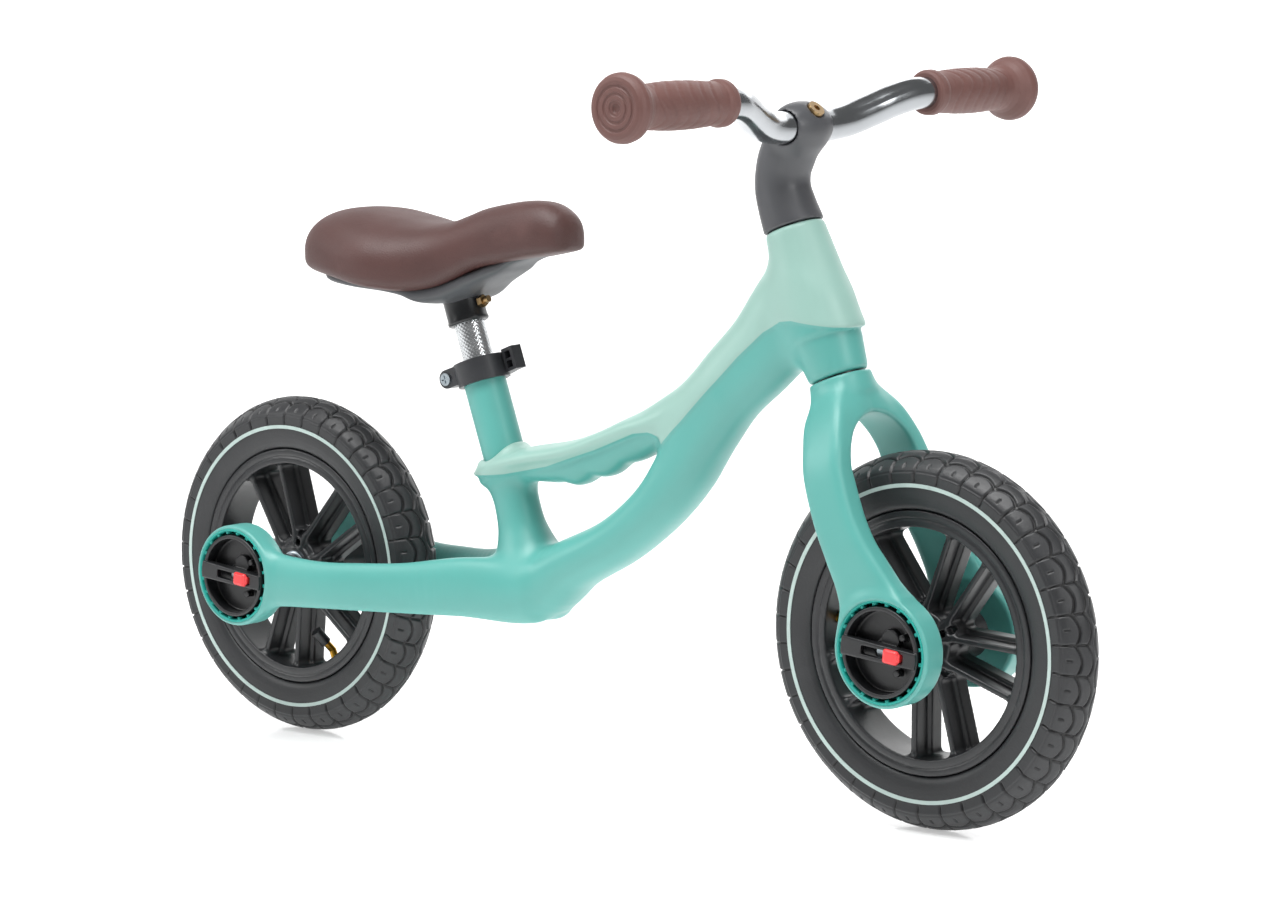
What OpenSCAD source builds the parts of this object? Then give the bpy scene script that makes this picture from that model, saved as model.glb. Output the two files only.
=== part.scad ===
// Child's balance bike: moulded frame and fork, two ten-inch pneumatic wheels,
// adjustable saddle, swept handlebar. Millimetres, +X forward, +Y rider's left, +Z up,
// origin on the ground midway between the two axles.

/* [Wheels] */
// Outside diameter of each tyre
tyre_od = 254; // [250:1:256]
// Distance between the two axles
wheelbase = 580; // [576:1:590]
// Diameter of both axles
axle_d = 10; // [9:0.5:10]
// Spoke pairs in each wheel
spoke_pairs = 5; // [4:1:5]

/* [Steering] */
// Lean of the steering axis back from vertical, degrees
head_lean = 20.7; // [20:0.1:21.5]
// Diameter of the head shell at its top
head_d = 41; // [40:0.5:43]
// Diameter of the steerer tube
steerer_d = 25.4; // [24:0.2:25.4]
// Diameter of the handlebar tube
bar_d = 22.2; // [21:0.1:22.2]
// Distance between the outer faces of the two grips
bar_span = 441; // [436:1:444]

/* [Seat] */
// Lean of the seat tube back from vertical, degrees
seat_lean = 19.2; // [18.5:0.1:20]
// Outside diameter of the seat tube
seat_tube_d = 31; // [30:0.5:32]
// Diameter of the seat post
post_d = 22.2; // [21:0.1:22.2]

/* [Wheel locks] */
// Diameter of the dropout rings
ring_d = 75; // [74:0.5:76]
// Diameter of the lock dishes
dish_d = 61; // [60:0.5:62]
// Outer face of the front dropout rings, from the middle
front_ring_y = 60; // [59:0.5:62]
// Outer face of the rear dropout rings, from the middle
rear_ring_y = 78.5; // [77:0.5:80]

/* [Hidden] */
$fn = 64;
run = 0.05;                                  // radial play of a running fit
skin_gap = 0.5;                              // gap between parts that turn past each other
axle_z = tyre_od / 2;
front_x = wheelbase / 2;
rear_x = -wheelbase / 2;
axle_r = axle_d / 2;
post_r = post_d / 2;
bar_r = bar_d / 2;
steerer_r = steerer_d / 2;
keel_z = 106;                                // flat foot under the keel
ring_t = 20;                                 // depth of a dropout ring
ring_web = 5;                                // web behind its recess
recess_r = 33.75;
head_top = [175.8, 0, 397.4];                // steering axis where the stem meets the head
head_len = 106.8;
flare_down = 72;                             // the head is widest this far below its top
flare_r = 27.3;
seat_ref = [-109.4, 0, 285];                 // seat axis at the middle of the clamp
bar_mid = [182.5, 0, 465];                   // handlebar where the stem holds it
bar_out = [204.2, 0, 484.6];                 // handlebar axis under the grips
grip_in = 111;                               // inner end of each grip
dish_tilt = -6;                              // slope of the dish crossbars, degrees
teal = "#59bfb0";
mint = "#9ad8cb";
coal = "#2c2d30";
soot = "#3a3b3e";
brown = "#5e3f3c";
steel = "#c9ccd0";
bronze = "#8d7048";
brass = "#c7962f";
red = "#e23a3a";
grey_band = "#b9cdc7";

// Frame: stations of the lofts, each [x, y, z, half height, half width]
main_beam = [[194, 0, 364, 17, 17], [182, 0, 347, 33, 20], [151, 0, 313, 29.5, 20.5],
    [120.2, 0, 285, 27.3, 21.5], [96.5, 0, 254.7, 26, 22.5], [79, 0, 225, 22, 23.5],
    [56, 0, 198, 18.5, 24.5], [21, 0, 171.5, 17.5, 25.5],
    [-20, 0, 151, 19, 27], [-55, 0, 131, 24, 30], [-90, 0, 127, 22, 30], [-112, 0, 126, 17, 24]];
grab_bar = [[120, 0, 285, 20, 19], [85, 0, 268, 17, 18.5], [57, 0, 254.5, 14.5, 18], [36, 0, 246, 13.2, 18],
    [11, 0, 235, 12.8, 18.5], [-19, 0, 226, 13, 20], [-55, 0, 221, 11.5, 22.5], [-84, 0, 216, 8.5, 22.5],
    [-108, 0, 211, 3, 8]];
post_shroud = [[-90.6, 0, 231, 16, 16], [-88.2, 0, 224, 18.5, 18], [-84.5, 0, 214, 24.5, 19.5],
    [-81, 0, 206, 20.5, 17.2], [-77, 0, 192, 17.2, 16.5], [-71, 0, 170, 18, 17.5], [-64, 0, 146, 26, 25]];
rear_arm = [[-48, -14, 130, 20, 12], [-75, -22, 130.5, 21.5, 13], [-105, -31.5, 130, 21.5, 11.5],
    [-145, -44, 126.8, 18.7, 9.2], [-180, -54, 125.6, 17.8, 8.6], [-215, -62.5, 125, 17.5, 9],
    [-252, -68, 126, 20, 9.5], [-275, -68.5, 127, 26, 9.8]];
seat_tube_down = 88;                         // seat tube below the middle of the clamp
post_bore_down = 158;                        // bore that the post slides down into
headset_r = 17;                              // bearing cups of the head
headset_h = 9;

// Seat clamp, in the seat's own frame
clamp_h = 17;
clamp_low = -10;                             // its lower face
clamp_r = 19.3;
ear_x = -24;                                 // clamp screw axis behind the seat axis
ear_r = 6.8;
lever_y = 17;                                // the lever's pivot pin

// Seat
cover_rows = [[-250, 0, 375, 6, 24], [-244, 0, 374, 16, 41], [-230, 0, 373, 25, 55],
    [-205, 0, 369.5, 29.5, 64], [-178, 0, 364, 30.5, 65], [-150, 0, 364.5, 26.5, 56],
    [-122, 0, 371.5, 22.5, 42], [-92, 0, 382, 21, 32], [-62, 0, 389, 19, 26], [-40, 0, 390.5, 17, 23],
    [-27, 0, 388, 13, 18], [-21, 0, 385, 6, 10]];
base_rows = [[-239, 0, 357, 4, 24], [-222, 0, 351, 8, 44], [-195, 0, 344, 10, 53], [-165, 0, 340, 11, 50],
    [-140, 0, 344, 11, 41], [-118, 0, 354.5, 9, 31], [-100, 0, 365, 5.5, 24], [-78, 0, 371.5, 3.5, 18],
    [-50, 0, 377, 2.5, 11], [-30, 0, 378, 2, 6]];
post_top = 58;                               // post above the middle of the clamp
post_low = -120;                             // and below it
socket_low = 34.5;                           // lower face of the saddle's socket
bolt_up = 46;                                // its pinch bolt

// Fork, stem and bar
crown = [[213.6, 0, 297, 20.5, 20.5], [216.5, 0, 289, 20.5, 21.5], [220, 0, 281, 20, 24.5],
    [226, 0, 270, 17.5, 31.5], [231, 0, 258, 14, 39]];
leg = [[219, -9, 284, 17, 11], [222, -16, 278, 17.5, 12.5], [227, -26.5, 266, 18, 12.5],
    [232.5, -36, 252, 17, 11], [238, -43.5, 235, 16.5, 10.2], [248.5, -48, 210, 16.5, 9.8],
    [260.5, -50, 188, 17.5, 9.5], [271, -50.3, 171, 20, 9.5], [281, -50.3, 152, 25, 9.5]];
arch_r = 37;                                 // half the space between the legs
arch_z = 239;                                // height where that arch springs
stem_rows = [[175.8, 0, 397.4, 20, 20], [170.5, 0, 410, 18.8, 19.3], [166.5, 0, 423, 18, 18.5],
    [167, 0, 436, 17.8, 18.3], [172, 0, 449, 18, 18.8], [179, 0, 460, 17, 19]];
bar_bend = [[182.5, -20, 465], [183, -32, 465.5], [186, -48, 468], [191.5, -65, 473.5], [198, -82, 479.8],
    [203, -97, 483.8], [204.2, -110, 484.6]];

// Wheels: profiles are [radius, half width]
tyre_half = [[82.2, 9], [82.2, 13.8], [88.9, 13.8], [89.4, 16.5], [93, 18.2], [99, 19.2], [105.5, 19.6],
    [110, 20.3], [114, 20.3], [118, 17.6], [121.4, 13.4], [124.3, 8.8], [126.3, 4.4], [127, 0]];
cavity_half = [[122.6, 0], [121, 5], [117.5, 11], [112, 15.4], [105, 16], [98, 15.4], [92.5, 12.8],
    [88, 10.2], [82.2, 9]];
band_half = [[104.2, 19.54], [104.2, 20], [106.8, 20.2], [106.8, 19.82]];
rim_in = 77.5;                               // inside radius of the rim
rim_face = 17;
hub_half = 14;                               // half width of the hub
web_r = 26;                                  // disc round the hub, where the spokes run together
web_half = 13.5;
bearing_r = 11;
bearing_w = 6;
rim_profile = [[rim_in, -rim_face], [88.6, -rim_face], [88.6, -14], [82, -14], [82, 14], [88.6, 14],
    [88.6, rim_face], [rim_in, rim_face]];
front_turn = 61;                             // where the first spoke pair stands
rear_turn = 113;
valve_r = 4.2;                               // its foot, in the rim
valve_bend = 35;                             // lean of its outer half towards the right
valve_foot = 75;                             // radius where the valve leaves the rim
spacer_in = 14.6;                            // outer face of the hub bearings, plus play

// Wheel locks
dish_wall = 3;
dish_depth = 12.5;
bar_half = 5.8;                              // half height of the crossbar
slot_half = 3;
slot_in = -13;                               // ends of the button's slot along the crossbar
slot_out = 20;
button_l = 14;                               // size of the button's cap
button_h = 12;

// ---------- lofts ----------

// A point on the smooth curve through q and r, with neighbours p and s
function curve(p, q, r, s, t) = 0.5 * (2 * q + (r - p) * t + (2 * p - 5 * q + 4 * r - s) * t * t
    + (3 * q - p - 3 * r + s) * t * t * t);
// Stations with smooth ones between them
function smooth(rows, steps) = let (last = len(rows) - 1) [
    for (i = [0 : last - 1])
        for (k = [0 : steps - 1])
            curve(rows[max(i - 1, 0)], rows[i], rows[i + 1], rows[min(i + 2, last)], k / steps),
    rows[last]];
function power(v, p) = sign(v) * pow(abs(v), 2 / p);
// Direction across a loft, in the XZ plane, square to its run at station i
function across(rows, i) = let (last = len(rows) - 1,
    run_v = rows[min(i + 1, last)] - rows[max(i - 1, 0)],
    size = norm([run_v[0], run_v[2]])) [-run_v[2] / size, 0, run_v[0] / size];
// Skin through rounded sections. A station is [x, y, z, half height, half width].
module loft(stations, steps = 3, sides = 16, p = 2.3) {
    rows = smooth(stations, steps);
    points = [for (i = [0 : len(rows) - 1]) let (up = across(rows, i), r = rows[i])
        for (k = [0 : sides - 1]) let (a = 360 * k / sides)
            [r[0], r[1], r[2]] + r[3] * power(sin(a), p) * up + [0, r[4] * power(cos(a), p), 0]];
    walls = [for (i = [0 : len(rows) - 2]) for (k = [0 : sides - 1])
        let (a = i * sides + k, b = i * sides + (k + 1) % sides)
            each [[a, a + sides, b + sides], [a, b + sides, b]]];
    first = [for (k = [0 : sides - 1]) k];
    end = [for (k = [sides - 1 : -1 : 0]) (len(rows) - 1) * sides + k];
    polyhedron(points, concat(walls, [first], [end]));
}
// Several lofts joined into one skin of triangles
module one_skin() {
    resize([0, 0, 0]) union() children();
}
// Puts children on the steering axis: local +Z runs up the steerer, origin at the head's top
module on_head() {
    translate(head_top) rotate([0, -head_lean, 0]) children();
}
// Puts children on the seat axis: local +Z runs up the post, origin mid-clamp
module on_seat() {
    translate(seat_ref) rotate([0, -seat_lean, 0]) children();
}
// A cylinder along Y from y0 to y1
module pin_y(x, z, r, y0, y1) {
    translate([x, y0, z]) rotate([-90, 0, 0]) cylinder(r = r, h = y1 - y0);
}
module ring_y(x, z, r, bore, y0, y1) {
    difference() {
        pin_y(x, z, r, y0, y1);
        pin_y(x, z, bore, y0 - 1, y1 + 1);
    }
}
// Turns a profile given as [radius, y] round a wheel's axle
module turn_y(x, profile) {
    translate([x, 0, axle_z]) rotate([90, 0, 0]) rotate_extrude() polygon(profile);
}
module both_sides() {
    children();
    mirror([0, 1, 0]) children();
}

// ---------- frame ----------

module dropout_ring(x, face) {
    pin_y(x, axle_z, ring_d / 2, -face, -face + ring_t);
}
module dropout_cuts(x, face) {
    pin_y(x, axle_z, recess_r, -face - 1, -face + ring_t - ring_web);
    pin_y(x, axle_z, axle_r, -face, -face + ring_t + 1);
}
module frame() {
    color(teal) difference() {
        union() {
            one_skin() {
                loft(main_beam);
                loft(grab_bar);
                loft(post_shroud);
                loft(rear_arm);
                mirror([0, 1, 0]) loft(rear_arm);
            }
            on_head() {
                translate([0, 0, -flare_down])
                    cylinder(r1 = flare_r, r2 = head_d / 2, h = flare_down - skin_gap);
                translate([0, 0, -head_len])
                    cylinder(r1 = head_d / 2 + 1, r2 = flare_r - 1, h = head_len - flare_down);
            }
            both_sides() dropout_ring(rear_x, rear_ring_y);
        }
        on_head() translate([0, 0, -head_len - 1]) cylinder(r = steerer_r + 1.5, h = head_len + 2);
        on_head() translate([0, 0, -headset_h]) cylinder(r = headset_r, h = headset_h + 1);
        on_head() translate([0, 0, -head_len - 1]) cylinder(r = headset_r, h = headset_h + 1);
        on_seat() translate([0, 0, -seat_tube_down]) cylinder(d = seat_tube_d, h = seat_tube_down + 20);
        on_seat() translate([0, 0, -post_bore_down]) cylinder(r = post_r + 0.6, h = post_bore_down);
        both_sides() dropout_cuts(rear_x, rear_ring_y);
        // Flat foot under the keel
        translate([-125, -20, 95]) cube([50, 40, keel_z - 95]);
    }
}

module seat_tube() {
    color(teal) on_seat() difference() {
        translate([0, 0, -seat_tube_down])
            cylinder(d = seat_tube_d, h = seat_tube_down + clamp_low + clamp_h - 1);
        translate([0, 0, -seat_tube_down - 1]) cylinder(r = post_r + run, h = seat_tube_down + 40);
        // Slot that lets the clamp squeeze the tube
        translate([-seat_tube_d, -1, -18]) cube([seat_tube_d, 2, 60]);
    }
}
module seat_clamp() {
    color(soot) on_seat() difference() {
        union() {
            translate([0, 0, clamp_low]) cylinder(r = clamp_r, h = clamp_h);
            pin_y(ear_x, 0, ear_r, -13, 9);
            translate([ear_x, -13, -ear_r]) cube([-ear_x, 22, 2 * ear_r]);
        }
        translate([0, 0, -clamp_h]) cylinder(d = seat_tube_d, h = 2 * clamp_h);
        translate([-60, -1, -clamp_h]) cube([60, 2, 2 * clamp_h]);
        pin_y(ear_x, 0, 2.5, -20, 20);
        pin_y(ear_x, 0, 4.6, -20, -11);
    }
}
module clamp_screw() {
    color(steel) on_seat() difference() {
        union() {
            pin_y(ear_x, 0, 2.5, -12, lever_y - 3);
            pin_y(ear_x, 0, 4.6, -14.5, -11);
        }
        translate([ear_x - 3, -15, -0.5]) cube([6, 1.5, 1]);
        translate([ear_x - 0.5, -15, -3]) cube([1, 1.5, 6]);
    }
}
module clamp_pin() {
    color(steel) on_seat() difference() {
        translate([ear_x, lever_y, -8.5]) cylinder(r = 4, h = 17);
        pin_y(ear_x, 0, 2.5, 0, lever_y - 3);
    }
}
module clamp_lever() {
    arm_in = 20.4;
    color(coal) on_seat() difference() {
        union() {
            // Cam round the pin
            translate([ear_x, lever_y, -8]) cylinder(r = 6.8, h = 16);
            // Arm that follows the clamp round its left side
            translate([0, 0, -7]) rotate([0, 0, 20]) rotate_extrude(angle = 122)
                translate([arm_in, 0]) square([5.2, 14]);
            translate([ear_x + 3.5, 13.6, -6.5]) cube([6.5, 6.4, 13]);
            // Thumb block at the front
            translate([20, 3, -8.5]) rotate([0, 0, -8]) cube([12, 9, 17]);
        }
        translate([ear_x, lever_y, -20]) cylinder(r = 4 + run, h = 40);
        // The cam is forked so that it clears the screw
        translate([ear_x - 8, lever_y - 8, -3.2]) cube([11.5, 16, 6.4]);
        // Two pockets in the thumb block
        for (z = [-6.2, 0.8]) translate([22.5, 0, z]) rotate([0, 0, -8]) cube([6, 9, 5.4]);
    }
}
module headset_bush(at) {
    color(steel) on_head() difference() {
        translate([0, 0, at]) cylinder(r = headset_r, h = headset_h - skin_gap);
        translate([0, 0, at - 1]) cylinder(r = steerer_r + run, h = headset_h + 2);
    }
}
module headset_upper() {
    headset_bush(-headset_h);
}
module headset_lower() {
    headset_bush(-head_len + 0.1);
}

// ---------- axles, spacers ----------

module axle(x, face) {
    color(steel) pin_y(x, axle_z, axle_r, -face + 4, face - 4);
}
module spacers(x, face) {
    depth = face - ring_t - spacer_in;
    color(coal) both_sides() translate([x, -spacer_in - depth, axle_z]) rotate([-90, 0, 0]) difference() {
        cylinder(r1 = 17, r2 = 8, h = depth);
        translate([0, 0, -1]) cylinder(r = axle_r, h = depth + 2);
    }
}
module rear_axle() {
    axle(rear_x, rear_ring_y);
}
module rear_spacers() {
    spacers(rear_x, rear_ring_y);
}
module front_axle() {
    axle(front_x, front_ring_y);
}
module front_spacers() {
    spacers(front_x, front_ring_y);
}

// ---------- seat ----------

module seat_post() {
    color(steel) on_seat() difference() {
        translate([0, 0, post_low]) cylinder(r = post_r, h = post_top - post_low);
        translate([0, 0, post_low - 1]) cylinder(r = post_r - 2, h = post_top - post_low - 4);
    }
}
module socket_body() {
    on_seat() translate([0, 0, socket_low]) cylinder(r = 15.2, h = 30);
}
module saddle_base() {
    color(soot) difference() {
        union() {
            loft(base_rows, steps = 2, sides = 20, p = 2.2);
            socket_body();
        }
        on_seat() translate([0, 0, socket_low - 1]) cylinder(r = post_r, h = post_top - socket_low + 1);
        on_seat() translate([post_r + 0.5, 0, bolt_up]) rotate([0, 90, 0]) cylinder(r = 2.6, h = 10);
    }
}
module saddle_cover() {
    color(brown) difference() {
        one_skin() difference() {
            loft(cover_rows, steps = 2, sides = 20, p = 2.3);
            loft(base_rows, steps = 2, sides = 20, p = 2.2);
        }
        socket_body();
    }
}
module saddle_bolt() {
    color(bronze) on_seat() translate([0, 0, bolt_up]) rotate([0, 90, 0]) {
        translate([0, 0, post_r + 0.5]) cylinder(r = 2.6, h = 13);
        translate([0, 0, 16.2]) cylinder(r = 4.6, h = 4, $fn = 6);
    }
}

// ---------- fork and bar ----------

module fork() {
    color(teal) difference() {
        union() {
            difference() {
                one_skin() {
                    loft(crown);
                    loft(leg, p = 3);
                    mirror([0, 1, 0]) loft(leg, p = 3);
                }
                // The arch over the tyre
                translate([180, 0, arch_z]) rotate([0, 90, 0]) cylinder(r = arch_r, h = 100);
                on_head() translate([-60, -60, -head_len - skin_gap]) cube([120, 120, 60]);
            }
            both_sides() dropout_ring(front_x, front_ring_y);
        }
        on_head() translate([0, 0, -head_len - 24]) cylinder(r = steerer_r, h = 30);
        both_sides() dropout_cuts(front_x, front_ring_y);
    }
}
module steerer_tube() {
    color(steel) on_head() difference() {
        translate([0, 0, -head_len - 24]) cylinder(r = steerer_r, h = head_len + 24 + 30);
        translate([0, 0, -head_len - 25]) cylinder(r = steerer_r - 2, h = head_len + 60);
    }
}
module stem() {
    color(coal) difference() {
        union() {
            difference() {
                one_skin() loft(stem_rows);
                on_head() translate([-60, -60, -60]) cube([120, 120, 60]);
            }
            pin_y(bar_mid[0], bar_mid[2], 16.8, -10, 10);
            both_sides() translate([bar_mid[0], 10, bar_mid[2]]) rotate([-90, 0, 0])
                cylinder(r1 = 16.8, r2 = 13, h = 10);
        }
        on_head() translate([0, 0, -1]) cylinder(r = steerer_r, h = 31);
        pin_y(bar_mid[0], bar_mid[2], bar_r, -30, 30);
        translate(bar_mid) rotate([0, 45, 0]) translate([0, 0, bar_r]) cylinder(r = 4, h = 30);
        translate(bar_mid) rotate([0, 45, 0]) translate([0, 0, 15]) cylinder(r = 6, h = 30);
    }
}
module stem_bolt() {
    color(bronze) translate(bar_mid) rotate([0, 45, 0]) difference() {
        union() {
            translate([0, 0, bar_r]) cylinder(r = 4, h = 6);
            translate([0, 0, 15]) cylinder(r = 6, h = 3.2);
        }
        translate([0, 0, 16]) cylinder(r = 2.6, h = 6, $fn = 6);
    }
}
// Round tube through a list of points, in planes square to its run
module bent_tube(points_in, r, steps = 3, sides = 20) {
    path = smooth(points_in, steps);
    last = len(path) - 1;
    rings = [for (i = [0 : last]) let (t = path[min(i + 1, last)] - path[max(i - 1, 0)],
        along = t / norm(t), side = cross(along, [0, 0, 1]), s = side / norm(side), u = cross(s, along))
        for (k = [0 : sides - 1]) let (a = 360 * k / sides) path[i] + r * (cos(a) * s + sin(a) * u)];
    walls = [for (i = [0 : last - 1]) for (k = [0 : sides - 1])
        let (a = i * sides + k, b = i * sides + (k + 1) % sides)
            each [[a, a + sides, b + sides], [a, b + sides, b]]];
    polyhedron(rings, concat([for (w = walls) [w[2], w[1], w[0]]],
        [[for (k = [sides - 1 : -1 : 0]) k], [for (k = [0 : sides - 1]) last * sides + k]]));
}
module handlebar() {
    bar_end = bar_span / 2 - 8;
    color(steel) union() {
        pin_y(bar_mid[0], bar_mid[2], bar_r, -20, 20);
        both_sides() bent_tube(bar_bend, bar_r);
        both_sides() difference() {
            pin_y(bar_out[0], bar_out[2], bar_r, -bar_end, -110);
            pin_y(bar_out[0], bar_out[2], bar_r - 2, -bar_end - 1, -130);
        }
    }
}
module bar_plug() {
    bar_end = bar_span / 2 - 8;
    color(coal) pin_y(bar_out[0], bar_out[2], bar_r - 2, -bar_end, -bar_end + 14);
}
module bar_plug_right() {
    bar_plug();
}
module bar_plug_left() {
    mirror([0, 1, 0]) bar_plug();
}
module grip() {
    grip_end = bar_span / 2;
    outline = [[bar_r, -grip_in], [15, -grip_in], [15.8, -114], [15.8, -119], [14.2, -123], [14.8, -131],
        [15.8, -146], [16, -159], [15.8, -173], [14.8, -187], [14.2, -195], [15.6, -200.5], [19.5, -205.5],
        [22, -209.5], [22.6, -213.5], [21.8, -217], [19.5, -219.4], [16, -grip_end], [2.5, -grip_end],
        [2.5, -grip_end + 7.9], [bar_r, -grip_end + 7.9]];
    color(brown) translate([bar_out[0], 0, bar_out[2]]) rotate([-90, 0, 0])
        rotate_extrude() polygon(outline);
}
module grip_right() {
    grip();
}
module grip_left() {
    mirror([0, 1, 0]) grip();
}

// ---------- wheels ----------

function valve_turn(x) = x < 0 ? -68 : 174;  // where the valve stands round the rim, degrees

// A list without its first item, and without its last when stop is 2
function rest(list, stop = 1) = [for (k = [1 : len(list) - stop]) list[k]];
// A profile's other half, in reverse order
function mirrored(half) = [for (k = [len(half) - 1 : -1 : 0]) [half[k][0], -half[k][1]]];

module tire(x) {
    color(coal) turn_y(x, concat(tyre_half, rest(mirrored(tyre_half)), rest(mirrored(cavity_half)),
        rest(cavity_half, 2)));
}
module tire_bands(x) {
    color(grey_band) both_sides() turn_y(x, band_half);
}
module inner_tube(x) {
    color(coal) turn_y(x, [for (a = [0 : 15 : 345]) [104.4 + 16 * cos(a), 11.6 * sin(a)]]);
}
module spoke(side, half_w, y0, y1) {
    foot = 8.5;                              // spoke axis beside the pair's middle, at the hub
    tip = 16.6;                              // and at the rim
    reach = rim_in + 0.7;
    translate([0, y1, 0]) rotate([90, 0, 0]) linear_extrude(y1 - y0)
        polygon([[16, side * foot - half_w], [reach, side * tip - half_w],
            [reach, side * tip + half_w], [16, side * foot + half_w]]);
}
module rim(x, turn) {
    color(coal) difference() {
        union() {
            turn_y(x, rim_profile);
            pin_y(x, axle_z, 21.5, -hub_half, hub_half);
            pin_y(x, axle_z, web_r, -web_half, web_half);
            translate([x, 0, axle_z])
                for (i = [0 : spoke_pairs - 1])
                    rotate([0, -turn - i * 360 / spoke_pairs, 0])
                        for (side = [-1, 1]) {
                            spoke(side, 2.3, -13, 0.5);
                            spoke(side, 5, 0, 13);
                        }
        }
        pin_y(x, axle_z, axle_r + 2, -20, 20);
        pin_y(x, axle_z, bearing_r, -20, -hub_half + bearing_w);
        pin_y(x, axle_z, bearing_r, hub_half - bearing_w, 20);
        valve_frame(x) translate([rim_in - 3, 0, 0]) rotate([0, 90, 0]) cylinder(r = valve_r, h = 8);
    }
}
module bearings(x) {
    color(steel) both_sides()
        ring_y(x, axle_z, bearing_r, axle_r + run, -hub_half, -hub_half + bearing_w);
}
module valve_frame(x) {
    translate([x, 0, axle_z]) rotate([0, -valve_turn(x), 0]) children();
}
// Valve: straight out of the tube, then bent towards the rider's right
module valve_stem(x) {
    color(brass) valve_frame(x) {
        translate([valve_foot, 0, 0]) rotate([0, 90, 0]) cylinder(r = valve_r, h = 11);
        translate([valve_foot - 6, 0, 0]) rotate([0, 90, 0]) cylinder(r = 2.8, h = 7);
        translate([valve_foot - 6, 0, 0]) sphere(r = 2.8);
        translate([valve_foot - 6, 0, 0]) rotate([0, -90, valve_bend]) cylinder(r = 2.8, h = 14);
    }
}
module valve_cap(x) {
    color(coal) valve_frame(x) translate([valve_foot - 6, 0, 0]) rotate([0, -90, valve_bend]) difference() {
        translate([0, 0, 8]) cylinder(r = 4.3, h = 12);
        cylinder(r = 2.8, h = 14);
    }
}
module front_tire() {
    tire(front_x);
}
module front_tire_bands() {
    tire_bands(front_x);
}
module front_inner_tube() {
    inner_tube(front_x);
}
module front_rim() {
    rim(front_x, front_turn);
}
module front_bearings() {
    bearings(front_x);
}
module front_valve_stem() {
    valve_stem(front_x);
}
module front_valve_cap() {
    valve_cap(front_x);
}
module rear_tire() {
    tire(rear_x);
}
module rear_tire_bands() {
    tire_bands(rear_x);
}
module rear_inner_tube() {
    inner_tube(rear_x);
}
module rear_rim() {
    rim(rear_x, rear_turn);
}
module rear_bearings() {
    bearings(rear_x);
}
module rear_valve_stem() {
    valve_stem(rear_x);
}
module rear_valve_cap() {
    valve_cap(rear_x);
}

// ---------- wheel locks ----------

module dish_frame(x, face) {
    translate([x, -face, axle_z]) rotate([0, -dish_tilt, 0]) children();
}
// A cup with a crossbar over its mouth; it turns on the end of the axle
module dish(x, face) {
    proud = 0.7;
    color(soot) dish_frame(x, face) difference() {
        union() {
            difference() {
                pin_y(0, 0, dish_d / 2, -proud, dish_depth);
                pin_y(0, 0, dish_d / 2 - dish_wall, -proud - 1, dish_depth - 3);
            }
            pin_y(0, 0, 9, 6, dish_depth + 2);
            intersection() {
                pin_y(0, 0, dish_d / 2, -proud - 1.5, 4);
                translate([-dish_d / 2, -proud - 1.5, -bar_half]) cube([dish_d, 5, 2 * bar_half]);
            }
        }
        pin_y(0, 0, axle_r + run, 3.9, 20);
        translate([slot_in, -5, -slot_half]) cube([slot_out - slot_in, 10, 2 * slot_half]);
    }
}
// Its lock button: a cap outside the crossbar and a stem through the slot
module button(x, face) {
    stem_half = slot_half - run;
    color(red) dish_frame(x, face) {
        translate([slot_out - button_l, -7.2, -button_h / 2]) cube([button_l, 4.9, button_h]);
        translate([slot_out - button_l, -2.5, -stem_half]) cube([button_l - run, 2.1, 2 * stem_half]);
    }
}
module front_dish_right() {
    dish(front_x, front_ring_y);
}
module front_dish_left() {
    mirror([0, 1, 0]) dish(front_x, front_ring_y);
}
module rear_dish_right() {
    dish(rear_x, rear_ring_y);
}
module rear_dish_left() {
    mirror([0, 1, 0]) dish(rear_x, rear_ring_y);
}
module front_button_right() {
    button(front_x, front_ring_y);
}
module front_button_left() {
    mirror([0, 1, 0]) button(front_x, front_ring_y);
}
module rear_button_right() {
    button(rear_x, rear_ring_y);
}
module rear_button_left() {
    mirror([0, 1, 0]) button(rear_x, rear_ring_y);
}

frame();
seat_tube();
seat_clamp();
clamp_screw();
clamp_pin();
clamp_lever();
headset_upper();
headset_lower();
rear_axle();
rear_spacers();
seat_post();
saddle_base();
saddle_cover();
saddle_bolt();
fork();
steerer_tube();
stem();
stem_bolt();
handlebar();
grip_left();
grip_right();
bar_plug_left();
bar_plug_right();
front_axle();
front_spacers();
front_tire();
front_tire_bands();
front_inner_tube();
front_rim();
front_bearings();
front_valve_stem();
front_valve_cap();
rear_tire();
rear_tire_bands();
rear_inner_tube();
rear_rim();
rear_bearings();
rear_valve_stem();
rear_valve_cap();
front_dish_right();
front_dish_left();
rear_dish_right();
rear_dish_left();
front_button_right();
front_button_left();
rear_button_right();
rear_button_left();
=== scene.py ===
"""Looks for the child's balance bike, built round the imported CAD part.

Lengths inside the modelling helpers are millimetres in the part's own frame
(+X forward, +Y rider's left, +Z up); a piece becomes metres when its mesh is made.
"""
import math

import bmesh
import bpy
import numpy as np
from mathutils import Matrix, Vector


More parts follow.
